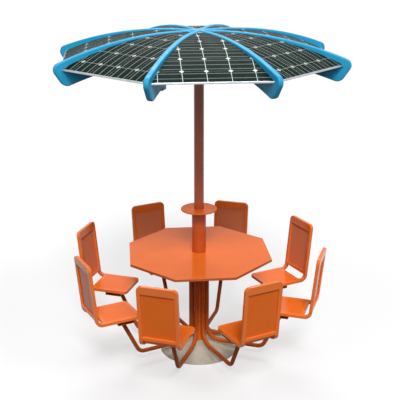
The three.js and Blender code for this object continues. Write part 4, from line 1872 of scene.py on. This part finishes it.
@dataclass
class TrayAndMast:
    """Round tray with the ring of outlets under it, and the mast that stands on the column."""

    finishes: FinishBook
    tray_height: float = 1111.0
    tray_thickness: float = 10.0
    tray_radius: float = 130.0
    edge_round: float = 3.0
    mast_radius: float = 35.0
    mast_wall: float = 3.5
    mast_top: float = 2272.7
    flange_radius: float = 51.0
    flange_bottom: float = 1092.7
    flange_thickness: float = 8.0
    ring_radius: float = 88.0
    ring_bore: float = 51.3
    ring_height: float = 13.5
    bore_ease: float = 0.6
    outlet_count: int = 4
    outlet_width: float = 30.0
    outlet_height: float = 8.0
    outlet_depth: float = 14.0
    port_place: float = 7.4
    port_half: tuple[float, float] = (6.5, 2.8)
    port_hollow: tuple[float, float] = (6.1, 2.4)
    port_round: float = 0.8
    port_inner_round: float = 0.5
    port_sunk: float = 1.5
    tongue: tuple[float, float, float, float] = (-5.2, -0.1, 5.2, 1.8)
    tongue_sunk: float = 3.0
    gap: float = 0.3

    @property
    def ring_top(self) -> float:
        """Height of the top of the outlet ring, under the tray."""
        return self.tray_height - self.tray_thickness - self.gap

    @property
    def ring_middle(self) -> float:
        """Height of the middle of the outlet ring and its outlets."""
        return self.ring_top - self.ring_height / 2

    def build(self) -> None:
        """Places the tray, the mast, and the outlet ring with its charging ports."""
        placed("round_tray", self.tray(), Tag(Slot.ORANGE_STEEL, ("tray",)))
        placed("mast_tube", self.mast(), Tag(Slot.ORANGE_STEEL, ("mast",)))
        placed("outlet_housing", self.ring(), Tag(Slot.DARK_PLASTIC, ("outlet_ring",)))
        shell, tongue = self.port_shell(), self.port_tongue()
        sides = enumerate((-self.port_place, self.port_place), 1)
        for outlet, (number, side) in product(range(self.outlet_count), sides):
            turn = Matrix.Rotation(outlet * math.tau / self.outlet_count, 4, "Z")
            floor = self.ring_radius - self.outlet_depth
            spot = turn @ shifted(floor, side, self.ring_middle)
            name = f"{outlet + 1}_{number}"
            placed(f"port_shell_{name}", shell, Tag(Slot.CONTROLLER_CASE), spot)
            placed(f"port_tongue_{name}", tongue, Tag(Slot.DARK_PLASTIC), spot)

    def tray(self) -> Mesh:
        """Builds the disc with a rounded rim.

        Returns:
            The tray's mesh.
        """
        bore, ease = self.mast_radius + self.gap, self.bore_ease
        low, high = self.tray_height - self.tray_thickness, self.tray_height
        inside = self.tray_radius - self.edge_round
        rim = arc(inside, low + self.edge_round, self.edge_round, -math.pi / 2, 0, 4)
        rim += arc(inside, high - self.edge_round, self.edge_round, 0, math.pi / 2, 4)
        profile = [(bore, low), *map(tuple, rim), (bore + ease, high), (bore, high - ease)]
        return finished("round_tray", revolved(profile, 128), self.finishes.orange_paint)

    def mast(self) -> Mesh:
        """Builds the tube with its foot flange.

        Returns:
            The mast's mesh.
        """
        bore, low = self.mast_radius - self.mast_wall, self.flange_bottom
        high = low + self.flange_thickness
        profile = [
            (bore, low),
            (self.flange_radius, low),
            (self.flange_radius, high),
            *((self.mast_radius, height) for height in spread(high, self.mast_top, 8)),
            (bore, self.mast_top),
        ]
        return finished("mast_tube", revolved(profile), self.finishes.shaded_satin_orange_paint)

    def ring(self) -> Mesh:
        """Builds the moulded ring with its sunk outlets.

        Returns:
            The ring's mesh.
        """
        half = math.asin(self.outlet_width / 2 / self.ring_radius)
        share = math.tau / self.outlet_count
        floor = self.ring_radius - self.outlet_depth
        low, high = (self.ring_middle + side * self.outlet_height / 2 for side in (-1, 1))
        edges = {
            (outlet * share + side * half) % math.tau
            for outlet, side in product(range(self.outlet_count), (-1, 1))
        }

        def present(radius: float, angle: float, height: float) -> bool:
            """Says whether a place is in the ring, and not in an outlet."""
            away = abs((angle + share / 2) % share - share / 2)
            return not (radius > floor and away < half and low < height < high)

        mesh = barrel(
            [self.ring_bore, floor, self.ring_radius],
            stepped(edges),
            [self.ring_top - self.ring_height, low, high, self.ring_top],
            present,
        )
        soften(mesh, 0.8, 2, sharpness=NEARLY_SQUARE)
        return finished("outlet_housing", mesh, self.finishes.dark_plastic)

    def port_shell(self) -> Mesh:
        """Builds the folded steel shell of one charging port, open to the outside.

        Returns:
            The shell's mesh.
        """
        outer = cushion(*self.port_half, self.port_round, 3)
        inner = cushion(*self.port_hollow, self.port_inner_round, 3)
        mesh = extruded(outer, 0.0, self.outlet_depth - self.port_sunk, [inner])
        return finished("port_shell", turned(mesh, LYING_ALONG_X), self.finishes.stainless)

    def port_tongue(self) -> Mesh:
        """Builds the contact tongue inside a port, bevelled at its tip.

        Returns:
            The tongue's mesh.
        """
        mesh = extruded(rectangle(*self.tongue), 0.0, self.outlet_depth - self.tongue_sunk)
        soften(mesh, 0.3, 1, sharpness=SQUARE_ONLY)
        return finished("port_tongue", turned(mesh, LYING_ALONG_X), self.finishes.contact_plastic)


# The canopy


class Strings(Enum):
    """Which way the ribbons of a panel's cells run."""

    OUTWARD = "outward"
    ACROSS = "across"


@dataclass(frozen=True)
class CellLayout:
    """How a panel's cells lie: their pitch outwards and across, and where one star lies."""

    strings: Strings = Strings.OUTWARD
    pitch_out: float = 148.0
    star_out: float = 388.0
    pitch_across: float = 146.0
    star_across: float = 0.0


@dataclass
class Canopy:
    """Eight ribs on a hub, with the solar panels between them.

    The ribs' top line is level out to flat_radius and then falls along one arc. The panels' top
    line starts panel_drop lower and falls along a tighter arc.
    """

    finishes: FinishBook
    top: float = 2385.0
    flat_radius: float = 160.0
    rib_arc: float = 2450.0
    panel_arc: float = 2035.0
    hub_across: float = 104.0
    hub_socket: float = 60.0
    socket_radius: float = 35.3
    rib_width: float = 36.0
    rib_depth: float = 172.0
    rib_head: float = 1058.0
    rib_foot: float = 968.0
    rib_steps: int = 36
    head_round: float = 45.0
    head_reach: float = 1.33  # the rounding's reach along the rib, in radii
    foot_round: float = 55.0
    foot_reach: float = 0.84
    rib_edge: float = 9.0
    ledge_width: float = 8.0
    ledge_thickness: float = 5.0
    ledge_gap: float = 0.8
    ledge_margin: float = 6.0
    panel_drop: float = 8.0
    panel_thickness: float = 12.0
    glass_thickness: float = 6.0
    panel_inner: float = 84.0
    panel_outer: float = 918.0
    glass_start: float = 2.0
    glass_end: float = 3.0
    strip_width: float = 6.0
    strip_height: float = 9.0
    strip_lip: float = 0.7
    rail_width: float = 14.0
    rail_share: float = 0.6
    gap: float = 0.3
    box_place: float = 230.0
    box_half: tuple[float, float] = (35.0, 25.0)
    box_round: float = 5.0
    box_height: float = 16.0
    lid_height: float = 3.2
    lid_round: float = 4.5
    gland_radii: tuple[float, ...] = (0, 6, 6, 4.8, 4.8, 3.8, 0)
    gland_levels: tuple[float, ...] = (0, 0, 5, 5.6, 9, 10.4, 10.4)
    gland_spot: tuple[float, float, float] = (-34.5, 10.0, 9.0)
    sensor_rib: int = 6
    sensor_place: float = 750.0
    sensor_half: tuple[float, float] = (35.0, 16.0)
    sensor_height: float = 33.0
    sensor_root: float = 1.5
    sensor_round: float = 6.0
    sensor_ease: float = 3.0
    layouts: dict[int, CellLayout] = field(
        default_factory=lambda: {
            4: CellLayout(pitch_out=164, star_out=448, star_across=-60),
            5: CellLayout(star_out=388, pitch_across=155, star_across=43),
            6: CellLayout(Strings.ACROSS, star_out=382, star_across=-30),
            7: CellLayout(star_out=403, star_across=46),
            8: CellLayout(pitch_out=153, star_out=313, star_across=-40),
        }
    )

    def fall(self, radius: float, arc_radius: float) -> float:
        """Gives how far a line of the canopy has fallen at a radius."""
        out = max(0.0, radius - self.flat_radius)
        return arc_radius - math.sqrt(arc_radius**2 - out**2)

    def rib_line(self, radius: float) -> float:
        """Gives the height of the ribs' top line at a radius."""
        return self.top - self.fall(radius, self.rib_arc)

    def panel_line(self, radius: float) -> float:
        """Gives the height of the panels' top line at a radius, where the ribs lie."""
        return self.top - self.panel_drop - self.fall(radius, self.panel_arc)

    def gore_line(self, place: float) -> float:
        """Gives the height of a panel's top over a place on its own middle line."""
        return self.panel_line(place / math.cos(HALF_PLACE))

    def half_width(self, place: float) -> float:
        """Gives half the clear width between two ribs at a place on the bay's middle line."""
        taken = (self.rib_width / 2 + self.gap) / math.cos(HALF_PLACE)
        return place * math.tan(HALF_PLACE) - taken

    def rib_outline(self, inset: float) -> list[Vector]:
        """Gives the side view of a rib, drawn in by an inset but for its end at the hub.

        Args:
            inset: How far the outline moves in. Its point count stays the same.

        Returns:
            Points of radius and height.
        """
        start, steps = self.hub_across / 2 + self.gap, self.rib_steps
        head, foot = self.rib_head - 2 * inset, self.rib_foot - inset
        upper = spread(start, self.rib_head - self.head_reach * self.head_round, steps)
        lower = spread(start, self.rib_foot - self.foot_reach * self.foot_round, steps)
        corners = [Vector((place, self.rib_line(place) - inset)) for place in [*upper, head]]
        corners += [
            Vector((place, self.rib_line(place) - self.rib_depth + inset))
            for place in [foot, *reversed(lower)]
        ]
        radii = [0.0] * len(corners)
        radii[steps + 1], radii[steps + 2] = self.head_round - inset, self.foot_round - inset
        return rounded(corners, radii, 8)

    def rib(self) -> BMesh:
        """Builds a rib: a box of folded sheet, with the ledges that the panels rest on.

        Returns:
            The closed mesh.
        """
        half = self.rib_width / 2
        sides = [
            [Vector((spot.x, side, spot.y)) for spot in self.rib_outline(inset)]
            for inset, side in eased_rows(self.rib_edge, -half, half, 5)
        ]
        parts = [lofted(sides)]
        reach = (half + self.ledge_width) * math.tan(HALF_PLACE)
        first = self.panel_inner / math.cos(HALF_PLACE)
        last = self.panel_outer / math.cos(HALF_PLACE) - reach - self.ledge_margin
        ledge_drop = self.panel_thickness + self.ledge_gap
        for side in (-1, 1):
            grids = [
                [
                    [
                        Vector((place, side * y, self.panel_line(place + reach) - drop))
                        for y in (half - 1, half + self.ledge_width)
                    ]
                    for place in spread(first, last, 30)
                ]
                for drop in (ledge_drop, ledge_drop + self.ledge_thickness)
            ]
            parts.append(soften(lattice(*grids), 1.0, 1, sharpness=NEARLY_SQUARE))
        return together(parts)

    def sensor(self) -> BMesh:
        """Builds the small box under one rib, with rounded corners.

        Returns:
            The closed mesh.
        """
        x, y = self.sensor_half
        foot = self.rib_line(self.sensor_place - x) - self.rib_depth
        outline = cornered(rectangle(-x, -y, x, y), [self.sensor_round] * 4)
        rim = Rim(outline, self.sensor_ease)
        mesh = plate([rim], foot - self.sensor_height, foot + self.sensor_root)
        return turned(mesh, Matrix.Translation((self.sensor_place, 0, 0)))

    def band(
        self,
        start: float,
        end: float,
        upper: float,
        lower: float,
        sides: Callable[[float], Sequence[float]],
        steps: int = 44,
    ) -> BMesh:
        """Builds a sheet that follows the canopy between two drops below the ribs' top line.

        Args:
            start: The inner end on the bay's middle line.
            end: The outer end.
            upper: The drop of the sheet's top.
            lower: The drop of its underside.
            sides: Gives the places across, from one side to the other, for a place outwards.
            steps: The number of steps outwards.

        Returns:
            The closed mesh.
        """
        grids = [
            [
                [Vector((place, across, self.gore_line(place) - drop)) for across in sides(place)]
                for place in spread(start, end, steps)
            ]
            for drop in (upper, lower)
        ]
        return lattice(*grids)

    def full_width(self, place: float) -> list[float]:
        """Gives places across the whole bay, in even steps."""
        half = self.half_width(place)
        return spread(-half, half, 12)

    def arc_length(self, place: float) -> float:
        """Gives the length of a panel's middle line from the axis to a place, very nearly."""
        out = max(0.0, place / math.cos(HALF_PLACE) - self.flat_radius)
        return place + out**3 / (6 * self.panel_arc**2 * math.cos(HALF_PLACE))

    def laminate(self, layout: CellLayout) -> Mesh:
        """Builds the glass laminate with the map that places its cells.

        Args:
            layout: How the panel's cells lie.

        Returns:
            The laminate's mesh.
        """
        start, end = self.panel_inner + self.glass_start, self.panel_outer - self.glass_end
        mesh = self.band(start, end, 0.0, self.glass_thickness, self.full_width)
        chart = mesh.loops.layers.uv.new(CELL_MAP)
        outward = layout.strings is Strings.OUTWARD
        for face in mesh.faces:
            if face.normal.z < UPRIGHT:
                face.material_index = 1
            for loop in face.loops:
                spot = loop.vert.co
                out = (self.arc_length(spot.x) - layout.star_out) / layout.pitch_out
                across = (spot.y - layout.star_across) / layout.pitch_across
                loop[chart].uv = (out, across) if outward else (across, out)
        front = self.finishes.fine_cells if outward else self.finishes.cells
        return finished("solar_laminate", mesh, front, self.finishes.back_sheet)

    def edging(self) -> Mesh:
        """Builds the aluminium strips at both ends of a panel, and the rails along its sides.

        Returns:
            The edging's mesh.
        """
        inside, outside = self.panel_inner + self.strip_width, self.panel_outer - self.strip_width
        parts = []
        for start, end in ((self.panel_inner, inside), (outside, self.panel_outer)):
            strip = self.band(start, end, -self.strip_lip, self.strip_height, self.full_width, 2)
            parts.append(soften(strip, 1.0, 2, sharpness=FOLDS_TOO))
        for side in (-1, 1):

            def across(place: float, side: int = side) -> list[float]:
                """Gives the places across of a rail's outer and inner side."""
                half = self.half_width(place)
                return [side * half, side * (half - min(self.rail_width, half * self.rail_share))]

            parts.append(
                self.band(inside, outside, self.glass_thickness, self.panel_thickness, across)
            )
        return finished("panel_edging", together(parts), self.finishes.aluminium)

    def junction_box(self) -> Mesh:
        """Builds the junction box under a panel, with its lid and two cable glands.

        Returns:
            The box's mesh.
        """
        place, (x, y) = self.box_place, self.box_half
        under = self.gore_line(place) - self.glass_thickness
        floor = self.gore_line(place) - self.panel_thickness - self.box_height
        seam = floor + self.lid_height
        body = extruded(cushion(x, y, self.box_round), seam, under + 1)
        lid = extruded(cushion(x - 1, y - 1, self.lid_round), floor, seam)
        soften(lid, 1.2, 2, sharpness=FOLDS_TOO)
        parts = [body, lid]
        out, aside, up = self.gland_spot
        profile = list(zip(self.gland_radii, self.gland_levels))
        for across in (-aside, aside):
            gland = turned(revolved(profile, 6), Matrix.Rotation(-math.pi / 2, 4, "Y"))
            parts.append(turned(gland, Matrix.Translation((out, across, floor + up))))
        mesh = turned(together(parts), Matrix.Translation((place, 0, 0)))
        return finished("junction_box", mesh, self.finishes.dark_plastic)

    def hub(self) -> Mesh:
        """Builds the octagonal hub with its socket for the mast.

        Returns:
            The hub's mesh.
        """
        low, share = self.top - self.rib_depth, 6

        def octagon(inset: float) -> list[Vector]:
            """Spreads points evenly along the octagon's sides.

            Args:
                inset: How far the sides move in.

            Returns:
                The outline's points.
            """
            corners = circle((self.hub_across / 2 - inset) / math.cos(HALF_PLACE), PLACE_COUNT)
            sides = zip(corners, [*corners[1:], corners[0]])
            return [one.lerp(two, step / share) for one, two in sides for step in range(share)]

        bore = circle(self.socket_radius, share * PLACE_COUNT)
        rings = [lifted(bore, low + self.hub_socket), lifted(bore, low)]
        rows = eased_rows(1.0, low, self.top, 2)
        rings += [lifted(octagon(inset), level) for inset, level in rows]
        return finished("hub", lofted(rings), self.finishes.blue_paint)

    def build(self) -> None:
        """Places the hub, the ribs and the panels."""
        placed("hub", self.hub(), Tag(Slot.BLUE_ALUMINIUM, ("canopy_hub",)))
        paint = self.finishes.blue_paint
        plain = finished("rib", self.rib(), paint)
        fitted = finished("rib_with_box", together([self.rib(), self.sensor()]), paint)
        edging, junction_box = self.edging(), self.junction_box()
        common = self.laminate(CellLayout())
        for index in range(1, PLACE_COUNT + 1):
            layout = self.layouts.get(index)
            rib_tag = Tag(Slot.BLUE_ALUMINIUM, (f"rib_{index}",))
            glass_tag = Tag(Slot.SOLAR_LAMINATE, (f"pv_panel_{index}",))
            rib = fitted if index == self.sensor_rib else plain
            glass = self.laminate(layout) if layout else common
            placed(f"canopy_rib_{index}", rib, rib_tag, spoke(index))
            placed(f"solar_laminate_{index}", glass, glass_tag, bay(index))
            placed(f"panel_edging_{index}", edging, Tag(Slot.BLUE_ALUMINIUM), bay(index))
            placed(f"junction_box_{index}", junction_box, Tag(Slot.DARK_PLASTIC), bay(index))


# The studio


def looking_in(turn: float, drop: float) -> Euler:
    """Gives the turn of a lamp or camera that looks inwards from its side, and down."""
    level = Vector((math.cos(turn), math.sin(turn), 0)) * math.cos(drop)
    return (-level - Vector((0, 0, math.sin(drop)))).to_track_quat("-Z", "Y").to_euler()


@dataclass(frozen=True)
class Lamp:
    """A soft lamp far away, its turn from the camera's side, rise and spread in degrees."""

    name: str
    turn: float
    rise: float
    spread: float
    strength: float


@dataclass
class Studio:
    """Pale floor, soft light and the camera that looks as the photograph does."""

    camera_turn: float = math.radians(-95.2)
    camera_distance: float = 5.919
    camera_height: float = 3.1596
    camera_pitch: float = 0.3239
    lens: float = 78.235
    shift_x: float = 0.0026
    floor_size: float = 60.0
    floor_glow: float = 0.56
    floor_share: float = 0.4
    floor_bounce: float = 0.05
    low_sky: float = 0.03
    high_sky: float = 0.12
    lamps: tuple[Lamp, ...] = (
        Lamp("front", 6, 49, 16, 1.85),
        Lamp("low_front", 0, 28, 24, 0.62),
        Lamp("right", 60, 54, 20, 0.62),
        Lamp("left", -45, 57, 16, 0.3),
        Lamp("back", 180, 46, 26, 1.2),
    )

    def build(self) -> None:
        """Builds the floor, the sky, the lamps and the camera."""
        self.floor()
        self.world()
        for lamp in self.lamps:
            self.hang(lamp)
        self.camera()

    def seen(self, tree: NodeTree) -> NodeSocket:
        """Gives 1 for rays by which the camera, metal or glass see the studio, and else 0.

        Args:
            tree: The node tree of the floor or the sky.

        Returns:
            The socket with the value.
        """
        rays = add_node(tree, "ShaderNodeLightPath").node.outputs
        seen = rays["Is Camera Ray"]
        for way in ("Is Glossy Ray", "Is Transmission Ray"):
            seen = add_node(tree, "ShaderNodeMath", {0: seen, 1: rays[way]}, operation="MAXIMUM")
        return seen

    def floor(self) -> None:
        """Builds the pale floor, which keeps the object's shadow."""
        mesh = bmesh.new()
        bmesh.ops.create_grid(mesh, x_segments=1, y_segments=1, size=self.floor_size / 2)
        data = bpy.data.meshes.new("floor")
        mesh.to_mesh(data)
        mesh.free()
        floor = shown("floor", data)
        material = bpy.data.materials.new("pale_floor")
        tree = emptied(material)
        lit, dim = (
            add_node(tree, "ShaderNodeBsdfDiffuse", {"Color": (share, share, share, 1)})
            for share in (self.floor_share, self.floor_bounce)
        )
        glow = add_node(tree, "ShaderNodeEmission", {"Strength": self.floor_glow})
        white = add_node(tree, "ShaderNodeAddShader", {0: glow, 1: lit})
        pale = add_node(tree, "ShaderNodeMixShader", {0: self.seen(tree), 1: dim, 2: white})
        add_node(tree, "ShaderNodeOutputMaterial", {"Surface": pale})
        data.materials.append(material)

    def world(self) -> None:
        """Lights the object by a plain sky, which the camera and mirrors see as white."""
        world = bpy.data.worlds.new("studio_sky")
        tree = emptied(world)
        way = add_node(tree, "ShaderNodeTexCoord", output="Generated")
        height = add_node(tree, "ShaderNodeSeparateXYZ", {0: way}, "Z")
        levels = {"Value": height, 3: self.low_sky, 4: self.high_sky}
        sky = add_node(tree, "ShaderNodeMapRange", levels, "Result")
        levels = {"Value": self.seen(tree), 3: sky, 4: 1.0}
        strength = add_node(tree, "ShaderNodeMapRange", levels, "Result")
        background = {"Color": (1, 1, 1, 1), "Strength": strength}
        light = add_node(tree, "ShaderNodeBackground", background)
        add_node(tree, "ShaderNodeOutputWorld", {"Surface": light})
        bpy.context.scene.world = world

    def hang(self, lamp: Lamp) -> None:
        """Adds a lamp, which shines down on the object from its side.

        Args:
            lamp: The lamp.
        """
        data = bpy.data.lights.new(lamp.name, "SUN")
        data.energy, data.angle = lamp.strength, math.radians(lamp.spread)
        turn = self.camera_turn + math.radians(lamp.turn)
        shown(lamp.name, data).rotation_euler = looking_in(turn, math.radians(lamp.rise))

    def camera(self) -> None:
        """Places the camera."""
        data = bpy.data.cameras.new("camera")
        data.lens, data.shift_x = self.lens, self.shift_x
        camera = shown("camera", data)
        side = Vector((math.cos(self.camera_turn), math.sin(self.camera_turn), 0))
        camera.location = side * self.camera_distance + Vector((0, 0, self.camera_height))
        camera.rotation_euler = looking_in(self.camera_turn, self.camera_pitch)
        bpy.context.scene.camera = camera


def dress_plain_nodes(frame: dict, finishes: FinishBook) -> None:
    """Gives the CAD nodes that stay as they are their finishes.

    Args:
        finishes: The object's finishes.
    """
    kept = {"table_bracket": finishes.orange_paint, "charge_controller": finishes.cast_case}
    for name, material in kept.items():
        data = frame["nodes"][name].data
        data.materials.clear()
        data.materials.append(material)
        log.info("%s keeps its CAD shape", name)


def main() -> None:
    """Loads the frame and builds the dressed object and its studio around it."""
    logging.basicConfig(level=logging.INFO, format="%(message)s")
    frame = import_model()
    finishes = FinishBook()
    dress_plain_nodes(frame, finishes)
    for assembly in (
        Foot(finishes),
        Chair(finishes),
        Table(finishes),
        Column(finishes),
        TrayAndMast(finishes),
        Canopy(finishes),
        Studio(),
    ):
        assembly.build()
        log.info("%s is built", type(assembly).__name__)
    bpy.context.scene.view_settings.view_transform = "Standard"


if __name__ == "__main__":
    main()
